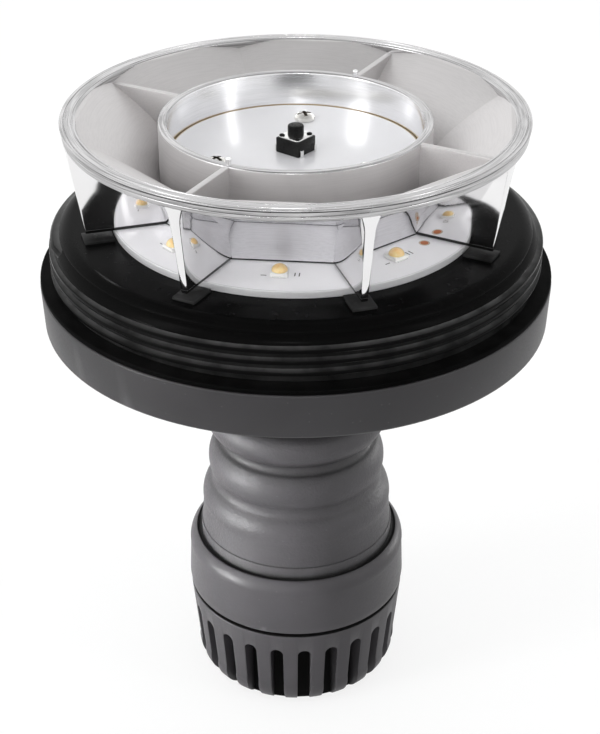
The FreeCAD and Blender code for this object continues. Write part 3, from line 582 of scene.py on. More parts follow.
# Painted shade: near-black finish for the walls and floors of the knob's slots, where shade falls.
SLOT_SHADE = moulded(
    "slot_painted_shade", grey(0.0015), grey(0.003), (0.5, 0.6), dust=0.004, wear_and_highlight=0.0, specular=0.04)
SLEEVE_GREY = moulded(
    "sleeve_grey", slate(0.047), slate(0.060), (0.36, 0.48), grain=2000.0, depth=0.4, hollow=4.0,
    specular=0.3)
NECK_GREY = moulded(
    "neck_rubber", slate(0.044), slate(0.064), (0.38, 0.56), grain=2100.0, depth=1.0, relief=0.08,
    wear_and_highlight=0.1, hollow=7.0, specular=0.4)
CUP_GREY = moulded(
    "cup_grey", slate(0.022), slate(0.028), (0.36, 0.46), grain=3000.0, depth=0.12, wear_and_highlight=0.1, specular=0.35)
# Painted highlight: with gloss turned nearly off, lightened edges draw the highlight lines on the collar and
# its thread crests.
COLLAR_BLACK = moulded(
    "collar_black", grey(0.002), grey(0.0035), (0.18, 0.28), grain=700.0, depth=0.03, dust=0.004, wear_and_highlight=0.10,
    specular=0.018)
THREAD_BLACK = moulded(
    "thread_black", grey(0.002), grey(0.0035), (0.14, 0.22), grain=700.0, depth=0.02, dust=0.004, wear_and_highlight=0.16,
    specular=0.03)
SEAL_BLACK = moulded(
    "seal_black", grey(0.0015), grey(0.003), (0.45, 0.6), grain=2000.0, dust=0.004, wear_and_highlight=0.02,
    specular=0.012)
SOCKET_BLACK = moulded("socket_black", grey(0.020), grey(0.030), (0.4, 0.55))
SWITCH_BLACK = moulded(
    "switch_black", grey(0.003), grey(0.006), (0.20, 0.32), grain=5000.0, depth=0.1, dust=0.01, wear_and_highlight=0.05,
    specular=0.08)
BLOCK_BLACK = moulded("block_black", grey(0.015), grey(0.025), (0.45, 0.6))
COLLET_NATURAL = moulded("collet_natural", (0.66, 0.64, 0.58, 1), (0.74, 0.72, 0.66, 1), (0.35, 0.5))
LEAD_RED = moulded("lead_red", (0.42, 0.012, 0.010, 1), (0.55, 0.02, 0.015, 1), (0.35, 0.5))
LEAD_BLACK = moulded("lead_black", grey(0.012), grey(0.02), (0.35, 0.5))
LED_WHITE = moulded("led_white", grey(0.80), (0.86, 0.85, 0.82, 1), (0.3, 0.45), grain=6000.0, wear_and_highlight=0.0)
PRINT_INK = moulded("print_ink", grey(0.015), grey(0.04), (0.5, 0.6), grain=6000.0, wear_and_highlight=0.0)
MIRROR_CELL = mirror("cell_mirror", (0.86, 0.855, 0.87), (0.02, 0.05), ripple=55.0, depth=0.05, streak=0.10)
MIRROR_BOWL = mirror("bowl_satin", (0.69, 0.675, 0.675), (0.48, 0.58), ripple=40.0, depth=0.02, streak=0.06)
MIRROR_RIM = mirror("rim_mirror", (0.57, 0.565, 0.57), (0.20, 0.32), ripple=60.0, depth=0.04, streak=0.6)
# The fins' painted shade band along their foot is taller.
MIRROR_FIN = mirror("fin_mirror", (0.87, 0.865, 0.87), (0.05, 0.10), ripple=60.0, depth=0.04, foot=0.75)
MIRROR_TUBE = mirror("tube_mirror", (0.96, 0.96, 0.97), (0.17, 0.25), ripple=70.0, depth=0.01, streak=0.12)
ZINC = metal("zinc_plate", (0.62, 0.61, 0.58, 1), (0.78, 0.77, 0.74, 1), (0.18, 0.32))
RECESS_SHADE = metal("screw_recess", (0.16, 0.13, 0.10, 1), (0.26, 0.21, 0.17, 1), (0.3, 0.45))
BRASS = metal("turned_brass", (0.60, 0.41, 0.14, 1), (0.78, 0.57, 0.22, 1), (0.22, 0.38))
TINNED = metal("tinned_steel", (0.70, 0.70, 0.69, 1), (0.84, 0.84, 0.83, 1), (0.16, 0.28))
SPRING_WIRE = metal("spring_wire", (0.45, 0.45, 0.45, 1), (0.62, 0.62, 0.61, 1), (0.2, 0.35))
COPPER = metal("bare_copper", (0.40, 0.12, 0.04, 1), (0.52, 0.18, 0.07, 1), (0.3, 0.45))
PAD_RING = metal("pad_ring", (0.52, 0.44, 0.36, 1), (0.62, 0.54, 0.45, 1), (0.35, 0.5))
CAN = metal("capacitor_can", (0.55, 0.56, 0.58, 1), (0.70, 0.71, 0.73, 1), (0.2, 0.35))
FERRITE = moulded("ferrite_grey", grey(0.03), grey(0.05), (0.5, 0.7), grain=3500.0, depth=0.4)
LED_BOARD_FACE = board(
    "led_board_white", (0.95, 0.945, 0.97, 1), (0.74, 0.74, 0.75, 1), mask_from=BOARD_TOP - 0.15,
    mask_to=BOARD_R - 0.4, rough=(0.3, 0.36), metal_core=0.3)
DRIVER_FACE = board(
    "driver_board_white", (0.74, 0.74, 0.765, 1), (0.50, 0.38, 0.22, 1), mask_from=DRIVER_TOP - 0.30,
    mask_to=DRIVER_R - 0.3, rough=(0.22, 0.26), metal_core=0.0)
PHOSPHOR = phosphor()


# Clamp knob

KNOB_MOUTH_R = 13.4
KNOB_FOOT_R = 20.0
KNOB_SIDE = (24.4, 7.5, 1.57)
KNOB_THREAD_R = 19.1
KNOB_CONE = ((19.1, 10.5), (14.8, 4.0))
KNOB_STEP = 0.5
KNOB_SHOULDER = 2.0
KNOB_EDGE = 0.3
SLOT_COUNT = 24
SLOT_WIDTH = 3.1
SLOT_TOP = 18.6
SLOT_FLOOR_R = 20.6
SLOT_FLOOR_ROUND = 0.3
SLOT_LIP = 0.28
SLOT_FIRST = -85.6


def slot_cutters():
    reach_out, drop = 10.0, 8.0
    bm = moved(brick(reach_out, SLOT_WIDTH, SLOT_TOP + drop), SLOT_FLOOR_R + reach_out / 2, 0, -drop)
    top = [e for e in bm.edges if all(v.co.z > (SLOT_TOP - 0.01) * MM for v in e.verts)
           and abs(e.verts[0].co.y - e.verts[1].co.y) < 0.1 * MM]
    eased(bm, top, 0.499 * SLOT_WIDTH, segments=8)
    floor = [e for e in bm.edges if all(v.co.x < (SLOT_FLOOR_R + 0.01) * MM for v in e.verts)]
    eased(bm, floor, SLOT_FLOOR_ROUND)
    return repeated(bm, SLOT_COUNT, SLOT_FIRST)


def clamp_knob():
    step_z, step_r = KNOB_TOP - KNOB_STEP, KNOB_R - KNOB_SHOULDER
    body = wire(
        (KNOB_MOUTH_R, KNOB_Z), (KNOB_FOOT_R, KNOB_Z), KNOB_SIDE, (KNOB_R, step_z), (step_r, step_z),
        (step_r, KNOB_TOP), (KNOB_THREAD_R, KNOB_TOP), *KNOB_CONE, (KNOB_MOUTH_R, KNOB_CONE[1][1]))
    soften(body, KNOB_EDGE, (KNOB_R, step_z), (KNOB_MOUTH_R, KNOB_Z), (KNOB_THREAD_R, KNOB_TOP))
    cut = carved(turned(body), slot_cutters())
    clear_r = (SLOT_FLOOR_R + SLOT_FLOOR_ROUND) * MM
    outer = [e for e in sharp_edges(cut, 40) if min(v.co.xy.length for v in e.verts) > clear_r]
    eased(cut, outer, SLOT_LIP)
    cut.normal_update()
    # Slot walls and floors take the near-black painted shade finish.
    for face in cut.faces:
        out = face.calc_center_median().xy.length / MM - SLOT_FLOOR_R
        face.material_index = int(-SLOT_FLOOR_ROUND < out < 1.0 and abs(face.normal.z) < 0.2)
    piece("slotted_knob", cut, [KNOB_GREY, SLOT_SHADE], ["clamp_knob"], "knob")


# Sleeve and neck

SLEEVE_FOOT_R = 25.9
SLEEVE_FOOT = 2.0
SLEEVE_IN_R = 18.9
SLEEVE_SHOULDER = (25.8, 34.4)
SLEEVE_LIP = (24.2, SLEEVE_TOP - 0.12, 0.62)
SLEEVE_WELL = (23.08, SLEEVE_TOP - 0.7, -0.22)
NECK_FOOT_R = 23.0
NECK_BAND_TOP = 41.0
NECK_SET_BACK = (22.7, 41.15)
NECK_SKIRT = (22.3, 47.0)
SKIRT_SAG = 0.8
VALLEYS = ((20.0, 54.6), (18.0, 65.2), (17.7, 76.2), (17.9, BEND_HIGH))
VALLEY_HALF = 1.6
BEAD_R = 21.4
BEAD_PITCH = (VALLEYS[-1][1] - VALLEYS[0][1]) / (len(VALLEYS) - 1)
FLANGE_Z = 93.5
FLANGE_TOP = 98.0
FLANGE_SAG = -0.87
SPIGOT_R = 16.0
NECK_BORE_R = 9.0
BORE_Z = 63.9
BORE_STEPS = 10
# Rooms inside the neck below its bore: radius and ceiling of each, from its mouth up
NECK_ROOMS = ((20.3, 42.0), (15.15, 52.0), (12.7, 60.2))


def socket_sleeve():
    body = wire(
        (SLEEVE_IN_R, SLEEVE_Z), (SLEEVE_FOOT_R, SLEEVE_Z), (SLEEVE_R, SLEEVE_Z + SLEEVE_FOOT),
        SLEEVE_SHOULDER, SLEEVE_LIP, SLEEVE_WELL, (SLEEVE_WELL[0], NECK_Z), (SLEEVE_IN_R, NECK_Z))
    soften(body, 0.4, (SLEEVE_FOOT_R, SLEEVE_Z))
    soften(body, 0.5, SLEEVE_LIP[:2])
    piece("smooth_sleeve", turned(body), [SLEEVE_GREY], ["socket_sleeve"], "mount")


def flex_neck():
    (mouth_r, mouth_top), (socket_r, socket_top), (block_r, block_top) = NECK_ROOMS
    steps = [
        (mouth_r, NECK_Z), (NECK_FOOT_R, NECK_Z), (NECK_FOOT_R, NECK_BAND_TOP), NECK_SET_BACK, NECK_SKIRT]
    sag = SKIRT_SAG
    for valley_r, height in VALLEYS:
        root_r = valley_r + (BEAD_R - valley_r) * 2 * VALLEY_HALF / BEAD_PITCH
        steps.append((root_r, height - VALLEY_HALF, sag))
        steps.append((root_r, height + VALLEY_HALF, valley_r - root_r))
        sag = BEAD_R - root_r
    steps += [
        (FLANGE_R, FLANGE_Z, FLANGE_SAG), (FLANGE_R, FLANGE_TOP),
        (SPIGOT_R, FLANGE_TOP), (SPIGOT_R, NECK_TOP), (NECK_BORE_R, NECK_TOP)]
    for step in range(1, BORE_STEPS + 1):
        steps.append((NECK_BORE_R, NECK_TOP + (BORE_Z - NECK_TOP) * step / BORE_STEPS))
    steps += [
        (block_r, block_top), (block_r, socket_top), (socket_r, socket_top), (socket_r, mouth_top),
        (mouth_r, mouth_top)]
    body = wire(*steps)
    soften(body, 0.8, (FLANGE_R, FLANGE_TOP), (FLANGE_R, FLANGE_Z))
    soften(body, 0.12, (NECK_FOOT_R, NECK_BAND_TOP))
    soften(body, 0.6, NECK_SKIRT)
    neck = piece("beaded_neck", turned(body), [NECK_GREY], ["flex_neck"], None)
    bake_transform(neck)


LEAD_R = 0.9
LEAD_LOW_X = 3.5
LEAD_HIGH_X = 6.0
LEAD_BEND = (BEND_HIGH, BEND_HIGH + 24.0)
LEAD_RUNS = 40


def lead_offset(height):
    share = min(max((height - LEAD_BEND[0]) / (LEAD_BEND[1] - LEAD_BEND[0]), 0), 1)
    return LEAD_LOW_X + (LEAD_HIGH_X - LEAD_LOW_X) * (1 - math.cos(math.pi * share)) / 2


def lead(name, side, finish, cad_node):
    """Wire from the contact block up the neck to the driver board."""
    bm = bmesh.new()
    bmesh.ops.create_circle(bm, cap_ends=True, radius=LEAD_R * MM, segments=14)
    moved(bm, side * lead_offset(LEAD_Z), 0, LEAD_Z)
    end = bm.edges[:]
    run = (LEAD_TOP - LEAD_Z) / LEAD_RUNS
    for step in range(LEAD_RUNS):
        height = LEAD_Z + step * run
        shift = side * (lead_offset(height + run) - lead_offset(height))
        end = pulled(bm, end, (shift, 0, run))
    bmesh.ops.contextual_create(bm, geom=end)
    made = piece(name, tidied(bm), [finish], [cad_node], None)
    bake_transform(made)


SPRING_WIRE_R = 0.35
SPRING_TURNS = 3.5
SPRING_STEPS = 24


def contact_spring():
    """Small coil that presses the pin onto the pole."""
    bm = bmesh.new()
    bmesh.ops.create_circle(bm, cap_ends=True, radius=SPRING_WIRE_R * MM, segments=10)
    moved(swung(bm, 90, "X"), SPRING_R - SPRING_WIRE_R, 0, SPRING_Z + SPRING_WIRE_R)
    steps = int(SPRING_STEPS * SPRING_TURNS)
    climb = (SPRING_TOP - SPRING_Z - 2 * SPRING_WIRE_R) / steps
    spun(bm, 360 * SPRING_TURNS, steps, dvec=(0, 0, climb * MM))
    made = piece("coil_spring", tidied(bm), [SPRING_WIRE], ["contact_spring"], "mount")
    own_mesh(made)


# Cup, collar and seal

CUP_LOW_R = 56.2
CUP_IN_R = 53.8
CUP_FLOOR = 3.0
CUP_HOLE_R = 16.3
RECESS = (32.5, 51.5)
RECESS_DEPTH = 1.4
CUP_RIB = 2.4
RIB_SET_BACK = 0.15
RIB_BITE = 0.4
RIB_END_BITE = 0.3
SEATS = 4
SEAT_CIRCLE = 44.0
SEAT_R = 5.4
SEAT_HOLE_R = 3.0


def at_seats(bm):
    """Copies a shape to the screw seats under the cup."""
    return repeated(moved(bm, SEAT_CIRCLE, 0, 0), SEATS, CELL_TURN)


def base_cup():
    ceiling = CUP_Z + RECESS_DEPTH
    in_r, out_r = RECESS
    body = wire(
        (CUP_HOLE_R, CUP_Z), (in_r, CUP_Z), (in_r, ceiling), (out_r, ceiling), (out_r, CUP_Z),
        (CUP_LOW_R, CUP_Z), (CUP_R, CUP_TOP), (CUP_IN_R, CUP_TOP), (CUP_IN_R, CUP_Z + CUP_FLOOR),
        (CUP_HOLE_R, CUP_Z + CUP_FLOOR))
    soften(body, 0.8, (CUP_LOW_R, CUP_Z))
    soften(body, 0.45, (CUP_R, CUP_TOP))
    soften(body, 0.3, (in_r, CUP_Z), (out_r, CUP_Z), (CUP_IN_R, CUP_TOP), (CUP_HOLE_R, CUP_Z))
    rib = brick(out_r - in_r + 2 * RIB_END_BITE, CUP_RIB, RECESS_DEPTH + RIB_BITE, 0.25)
    moved(rib, (in_r + out_r) / 2, 0, CUP_Z + RIB_SET_BACK)
    hole = turned(ring(0, SEAT_HOLE_R, CUP_Z - CUP_FLOOR, ceiling + CUP_FLOOR), steps=32)
    ribs = carved(repeated(rib, CELLS), at_seats(hole))
    seat = ring(SEAT_HOLE_R, SEAT_R, CUP_Z, ceiling + RIB_BITE)
    soften(seat, 0.25, (SEAT_R, CUP_Z), (SEAT_HOLE_R, CUP_Z))
    whole = together(turned(body), ribs, at_seats(turned(seat, steps=40)))
    piece("grey_cup", whole, [CUP_GREY], ["base_cup"])


COLLAR_ROOT_R = 52.4
COLLAR_SKIRT_R = 53.5
COLLAR_WALL = 2.4
COLLAR_ROUND = (48.8, BOARD_Z, 0.38)
COLLAR_LEDGE = (51.75, 119.3, 0.28)
COLLAR_LEDGE_TOP = 119.75
COLLAR_ROUND_Z = 117.2
RAISED_ROOT_R = 53.2
DECK_HOLE_R = 12.0
DECK = 2.4
PAD_SPAN = (40.65, 47.25)
PAD_WIDTH = 5.2
PAD_BITE = 0.8
RIDGE_PITCH = 2.5
RIDGE_TURNS = 3.2
RIDGE_STEPS = 120
RIDGE_FOOT = 2.0
RIDGE_CREST = 0.7
RIDGE_BITE = 0.3
RIDGE_FIRST_Z = 110.65
RIDGE_START = 127.0
RIDGE_RUN_OUT = 6.0


def collar_body():
    in_r = COLLAR_ROOT_R - COLLAR_WALL
    ledge_edge = (COLLAR_LEDGE[0], COLLAR_LEDGE_TOP)
    body = wire(
        (in_r, COLLAR_Z), (COLLAR_SKIRT_R, COLLAR_Z), (COLLAR_SKIRT_R, SEAL_Z), (COLLAR_ROOT_R, SEAL_Z),
        (COLLAR_ROOT_R, SEAL_TOP + 0.05), (RAISED_ROOT_R, SEAL_TOP + 0.15), (RAISED_ROOT_R, COLLAR_ROUND_Z),
        COLLAR_LEDGE, ledge_edge, COLLAR_ROUND, (DECK_HOLE_R, BOARD_Z), (DECK_HOLE_R, BOARD_Z - DECK),
        (in_r - DECK, BOARD_Z - DECK), (in_r, BOARD_Z - 2 * DECK))
    soften(body, 0.12, ledge_edge)
    soften(body, 0.5, (DECK_HOLE_R, BOARD_Z))
    return turned(body)


def collar_pads():
    length = PAD_SPAN[1] - PAD_SPAN[0]
    pad = brick(length, PAD_WIDTH, PAD_TOP - BOARD_Z + PAD_BITE, 0.25)
    return repeated(moved(pad, sum(PAD_SPAN) / 2, 0, BOARD_Z - PAD_BITE), CELLS, FIN_ANGLE)


def ridge_share(place):
    """Share of its full depth that the lens thread has at a place, less where it runs out at its ends."""
    after = (math.degrees(math.atan2(place.y, place.x)) - RIDGE_START + 0.01) % 360
    before = (RIDGE_TURNS * 360 - after + 0.02) % 360
    last_z = RIDGE_FIRST_Z + RIDGE_PITCH * RIDGE_TURNS
    share = 1.0
    if place.z < (RIDGE_FIRST_Z + RIDGE_PITCH / 2) * MM:
        share = min(share, after / RIDGE_RUN_OUT)
    if place.z > (last_z - RIDGE_PITCH / 2) * MM:
        share = min(share, before / RIDGE_RUN_OUT)
    return max(share, 0.02)


def lens_thread():
    """Coarse ridge round the collar that a lens screws onto, leaning in with the collar's rounded top."""
    foot_r = RAISED_ROOT_R - RIDGE_BITE
    low = RIDGE_FIRST_Z - RIDGE_FOOT / 2
    crest_low = low + (RIDGE_FOOT - RIDGE_CREST) / 2
    crest = ((CREST_R, crest_low), (CREST_R, crest_low + RIDGE_CREST))
    bm = soften(wire((foot_r, low), *crest, (foot_r, low + RIDGE_FOOT)), 0.15, *crest)
    bmesh.ops.contextual_create(bm, geom=bm.edges[:])
    steps = int(RIDGE_STEPS * RIDGE_TURNS)
    spun(swung(bm, RIDGE_START), 360 * RIDGE_TURNS, steps, dvec=(0, 0, RIDGE_PITCH / RIDGE_STEPS * MM))
    for vert in bm.verts:
        radius = vert.co.xy.length / MM
        above = max(vert.co.z / MM - COLLAR_ROUND_Z, 0) / (BOARD_Z - COLLAR_ROUND_Z)
        inward = (RAISED_ROOT_R - COLLAR_ROUND[0]) * above ** 2
        scale = (foot_r + (radius - foot_r) * ridge_share(vert.co) - inward) / radius
        vert.co.x *= scale
        vert.co.y *= scale
    return tidied(bm)


def threaded_collar():
    whole = together(collar_body(), collar_pads())
    piece("black_collar", whole, [COLLAR_BLACK], ["threaded_collar"])
    piece("lens_thread_ridge", lens_thread(), [THREAD_BLACK])


SEAL_IN_R = 52.5
SEAL_INSET = 0.1


def lens_seal():
    out_r = CUP_R - SEAL_INSET
    body = ring(SEAL_IN_R, out_r, SEAL_Z, SEAL_TOP)
    soften(body, 0.4, (out_r, SEAL_TOP), (out_r, SEAL_Z))
    piece("flat_seal", turned(body), [SEAL_BLACK], ["lens_seal"])


# LED board

LED_CIRCLE = CELL_APOTHEM + CELL_FOCUS
LED_BASE = 3.6
LED_DOME_R = 1.65
LED_DOME_SAG = 0.35
SOLDER = (0.55, 2.9, 0.32)
BOARD_HOLE_R = 8.0
TICK = (1.5, 0.22, 0.02)
TICKS_AT = (3.1, 4.0)
BAR = (0.22, 1.2, 0.02)
BAR_AT = (0.9, -3.2)
COPPER_CIRCLE = 32.6
COPPER_ANGLES = (343.9, 325.8)
COPPER_R = 0.85
COPPER_RING_R = 1.2


def at_lights(bm, out, aside, height):
    """Copies a shape to every light source, set off outwards and aside from its middle."""
    return repeated(moved(bm, LED_CIRCLE + out, aside, height), CELLS, LED_ANGLE)


def led_board():
    body = ring(BOARD_HOLE_R, BOARD_R, BOARD_Z, BOARD_TOP)
    soften(body, 0.12, (BOARD_R, BOARD_TOP), (BOARD_R, BOARD_Z))
    piece("round_led_board", turned(body), [LED_BOARD_FACE], ["led_board"])


def led_lights():
    base = brick(LED_BASE, LED_BASE, LED_TOP - LED_Z, 0.14)
    bases = at_lights(base, 0, 0, LED_Z)
    piece("led_packages", bases, [LED_WHITE], ["led_bases"])
    dome = wire(
        (0, DOME_Z), (LED_DOME_R, DOME_Z), (LED_DOME_R, DOME_Z + 0.2), (0, DOME_TOP, LED_DOME_SAG),
        closed=False)
    domes = at_lights(turned(dome, steps=40), 0, 0, 0)
    piece("led_yellow_domes", domes, [PHOSPHOR], ["led_domes"])
    joints = [at_lights(brick(*SOLDER, 0.12), side * LED_BASE / 2, 0, LED_Z) for side in (-1, 1)]
    piece("led_solder", together(*joints), [TINNED])


def board_print():
    """Short ticks beside each light source, and two bare pads with their rings."""
    ticks = [at_lights(brick(*TICK), 0, aside, BOARD_TOP) for aside in TICKS_AT]
    bars = at_lights(brick(*BAR), *BAR_AT, BOARD_TOP)
    piece("board_ticks", together(*ticks, bars), [PRINT_INK])
    pads, rings = [], []
    for angle in COPPER_ANGLES:
        pad = turned(ring(0, COPPER_R, BOARD_TOP, BOARD_TOP + 0.05), steps=32)
        pads.append(swung(moved(pad, COPPER_CIRCLE, 0, 0), angle))
        rim = turned(ring(COPPER_R, COPPER_RING_R, BOARD_TOP, BOARD_TOP + 0.03), steps=32)
        rings.append(swung(moved(rim, COPPER_CIRCLE, 0, 0), angle))
    piece("copper_pads", together(*pads), [COPPER])
    piece("copper_pad_rings", together(*rings), [PAD_RING])


# Mirror reflector

BOWL_TOP = MIRROR_TOP - 0.2
RIM_LOW = MIRROR_TOP - 2.6
RIM_LIP = 3.5
FIN_FOOT = 1.5
FIN_HEAD = 2.3
FIN_FLARE = 1.6
FIN_FLARE_FROM = 0.8
FIN_FOOT_R = 46.6
FIN_HEAD_R = 49.6
FIN_OVERLAP = 0.6
FOOT_EDGE = 0.35
CURVE_STEPS = 16
CELL_HALF_WIDTH = 23.0
CELL_RUNS = 12
BOWL_INSET = 0.5


def wall_curve(offset, low, high, stretch=1.0):
    """Points up the mirror wall, set in from its bright face by an offset."""
    foot = MIRROR_Z + offset
    points = []
    for step in range(CURVE_STEPS + 1):
        height = low + (high - low) * (step / CURVE_STEPS) ** 0.75
        radius = CELL_APOTHEM - offset + (height - foot) ** 2 / (4 * CELL_FOCUS)
        points.append((stretch * radius, height))
    return points


def mirror_cells():
    bright = [(CELL_APOTHEM, MIRROR_Z)] + wall_curve(0, MIRROR_Z + FOOT_EDGE, BOWL_TOP)
    back = wall_curve(MIRROR_WALL, MIRROR_Z + MIRROR_WALL, BOWL_TOP)
    bm = wire((CELL_APOTHEM - MIRROR_WALL, MIRROR_Z), *bright, *reversed(back))
    moved(bm, 0, -CELL_HALF_WIDTH, 0)
    end = bm.edges[:]
    for _ in range(CELL_RUNS):
        end = pulled(bm, end, (0, 2 * CELL_HALF_WIDTH / CELL_RUNS, 0))
    half_turn = math.radians(CELL_TURN / 2)
    for side in (-1, 1):
        bmesh.ops.bisect_plane(
            bm, geom=everything(bm), plane_co=(0, 0, 0), clear_outer=True,
            plane_no=(-math.sin(half_turn), side * math.cos(half_turn), 0))
    limit = (RIM_R - BOWL_INSET) * MM
    for vert in bm.verts:
        radius = vert.co.xy.length
        if radius > limit:
            vert.co.x *= limit / radius
            vert.co.y *= limit / radius
    tidied(repeated(bm, CELLS, LED_ANGLE))
    bm.normal_update()
    for face in bm.faces:
        face.material_index = int(face.normal.z > 0.05)
    return bm


def mirror_rim():
    """Rim with two grooves round its outside and two on its top."""
    in_r = RIM_R - RIM_LIP
    low_r, mid_r = RIM_R - 0.35, RIM_R - 0.2
    cut, top_cut = 0.35, 0.14
    foot, waist, top = RIM_LOW, RIM_LOW + 1.05, MIRROR_TOP
    neck = waist + 0.9
    floor = top - top_cut
    body = wire(
        (in_r, foot), (low_r, foot), (low_r, waist), (low_r - cut, waist + 0.07), (low_r - cut, waist + 0.15),
        (mid_r, waist + 0.22), (mid_r, neck), (mid_r - cut, neck + 0.05), (mid_r - cut, neck + 0.13),
        (RIM_R, neck + 0.2), (RIM_R, top), (RIM_R - 0.8, top), (RIM_R - 0.87, floor), (RIM_R - 1.0, floor),
        (RIM_R - 1.07, top), (in_r + 0.9, top), (in_r + 0.83, floor), (in_r + 0.7, floor),
        (in_r + 0.63, top - 0.02), (in_r, top - 0.1))
    soften(body, 0.25, (low_r, foot), (in_r, top - 0.1))
    soften(body, 0.2, (RIM_R, top), (RIM_R, neck + 0.2), (low_r, waist))
    return turned(body, FINE_TURN_STEPS)


def mirror_fins():
    """Fins from the creases out, flaring where they meet the rim."""
    middle = MIRROR_WALL / 2
    top = RIM_LOW + FIN_OVERLAP
    crease = wall_curve(middle, MIRROR_Z + middle, top, CREASE_STRETCH)
    outline = wire(
        (crease[0][0], MIRROR_Z), *crease, (FIN_HEAD_R, top), (FIN_HEAD_R, RIM_LOW), (FIN_FOOT_R, MIRROR_Z))
    long_edges = [e for e in outline.edges if e.calc_length() > 5 * MM]
    outer = max(long_edges, key=lambda e: sum(v.co.x for v in e.verts))
    bmesh.ops.subdivide_edges(outline, edges=[outer], cuts=CURVE_STEPS)
    fin = slab(outline, FIN_HEAD, 0.25)
    for vert in fin.verts:
        share = (vert.co.z / MM - MIRROR_Z) / (RIM_LOW - MIRROR_Z)
        flare = max(0, share - FIN_FLARE_FROM) / (1 - FIN_FLARE_FROM)
        width = FIN_FOOT + (FIN_HEAD - FIN_FOOT) * share + FIN_FLARE * flare ** 2
        vert.co.y *= width / FIN_HEAD
    return repeated(fin, CELLS, FIN_ANGLE)


def reflector():
    finishes = [MIRROR_CELL, MIRROR_BOWL]
    piece("mirror_cells", mirror_cells(), finishes, ["reflector"], crease=20)
    piece("mirror_rim", mirror_rim(), [MIRROR_RIM])
    piece("mirror_fins", mirror_fins(), [MIRROR_FIN])


# Inner tube and driver board

TUBE_R = 29.4
TUBE_IN_R = 27.5
LEDGE_R = 25.8
LEDGE = 1.5
WEB = 1.3
TUBE_TOP = MIRROR_TOP - 1.4
WEB_TOP = TUBE_TOP - 0.2
LEDGE_Z = DRIVER_Z - LEDGE
LEDGE_BITE = 0.3
WEB_FOOT = 3.0
WEB_BITE = 1.0
WEB_OVERLAP = 0.9
RIM_PIN_R = 0.6


def wall_height(x, y):
    """Height of the middle of the mirror wall over a point, in millimetres."""
    half_turn = CELL_TURN / 2
    turn = (math.degrees(math.atan2(y, x)) - FIN_ANGLE) % CELL_TURN - half_turn
    middle = MIRROR_WALL / 2
    out = math.hypot(x, y) * math.cos(math.radians(turn)) - CELL_APOTHEM + middle
    return MIRROR_Z + middle + math.sqrt(max(out, 0) * 4 * CELL_FOCUS)


def tube_wall():
    """Tube whose foot is shaped to the bowl that it stands on."""
    body = ring(TUBE_IN_R, TUBE_R, MIRROR_Z, TUBE_TOP)
    soften(body, 0.4, (TUBE_R, TUBE_TOP), (TUBE_IN_R, TUBE_TOP))
    bm = turned(body, FINE_TURN_STEPS)
    for vert in bm.verts:
        if vert.co.z < (MIRROR_Z + 0.1) * MM:
            vert.co.z = wall_height(vert.co.x / MM, vert.co.y / MM) * MM
    bm.normal_update()
    for face in bm.faces:
        outward = face.normal.xy.dot(face.calc_center_median().xy)
        face.material_index = 2 if face.normal.z > 0.5 else int(outward > 0)
    return bm


def tube_ledge():
    return turned(ring(LEDGE_R, TUBE_IN_R + LEDGE_BITE, LEDGE_Z, LEDGE_Z + LEDGE))


def tube_webs():
    middle = MIRROR_WALL / 2
    crease = wall_curve(middle, MIRROR_Z + middle + WEB_FOOT, RIM_LOW + WEB_OVERLAP, CREASE_STRETCH)
    root_r = TUBE_IN_R + WEB_BITE
    outline = wire((root_r, WEB_TOP), (root_r, crease[0][1]), *crease, (crease[-1][0], WEB_TOP))
    return repeated(slab(outline, WEB, 0.2), CELLS // 2, WEB_ANGLE)


def tube_pins():
    pin = soften(ring(0, RIM_PIN_R, TUBE_TOP - 1.0, PIN_TOP), 0.25, (RIM_PIN_R, PIN_TOP))
    return repeated(moved(turned(pin, steps=24), (TUBE_R + TUBE_IN_R) / 2, 0, 0), 2, WEB_ANGLE)


def board_tube():
    whole = together(tube_wall(), tube_ledge(), tube_pins())
    finishes = [MIRROR_TUBE, MIRROR_BOWL, MIRROR_RIM]
    piece("bright_tube", whole, finishes, ["board_tube"])
    piece("tube_webs", tube_webs(), [MIRROR_BOWL])


def driver_board():
    body = soften(ring(0, DRIVER_R, DRIVER_Z, DRIVER_TOP), 0.1, (DRIVER_R, DRIVER_TOP))
    piece("round_driver_board", turned(body), [DRIVER_FACE], ["driver_board"])


# Screws with cross recesses, with the radii of their shanks and heads

DRIVER_SCREW = (1.25, 2.25)
DRIVER_SCREWS = 3
DRIVER_SCREW_CIRCLE = 18.3
DRIVER_SCREW_FIRST = 84.0
RECESS_TURN = 20
COLLAR_SCREW = (1.5, 2.7)


def cross_screw(shank_r, head_r, rise, length):
    """Pan head screw that stands on the plane z = 0, point down."""
    brim = rise / 2
    sag = head_r * 0.14
    body = wire(
        (0, -length), (0.5 * shank_r, -length), (shank_r, -length + 0.6), (shank_r, 0), (head_r, 0),
        (head_r, brim), (0, rise, sag), closed=False)
    soften(body, 0.25, (head_r, 0))
    long, short, floor = 1.35 * head_r, 0.32 * head_r, 0.35 * rise
    screw = turned(body, steps=40)
    for length_x, length_y in ((long, short), (short, long)):
        screw = carved(screw, moved(brick(length_x, length_y, rise), 0, 0, floor))
    screw.normal_update()
    for face in screw.faces:
        middle = face.calc_center_median() / MM
        inside = middle.xy.length < 0.7 * head_r and middle.z > 0.9 * floor
        face.material_index = int(inside and (abs(face.normal.z) < 0.2 or middle.z < 1.1 * floor))
    return screw


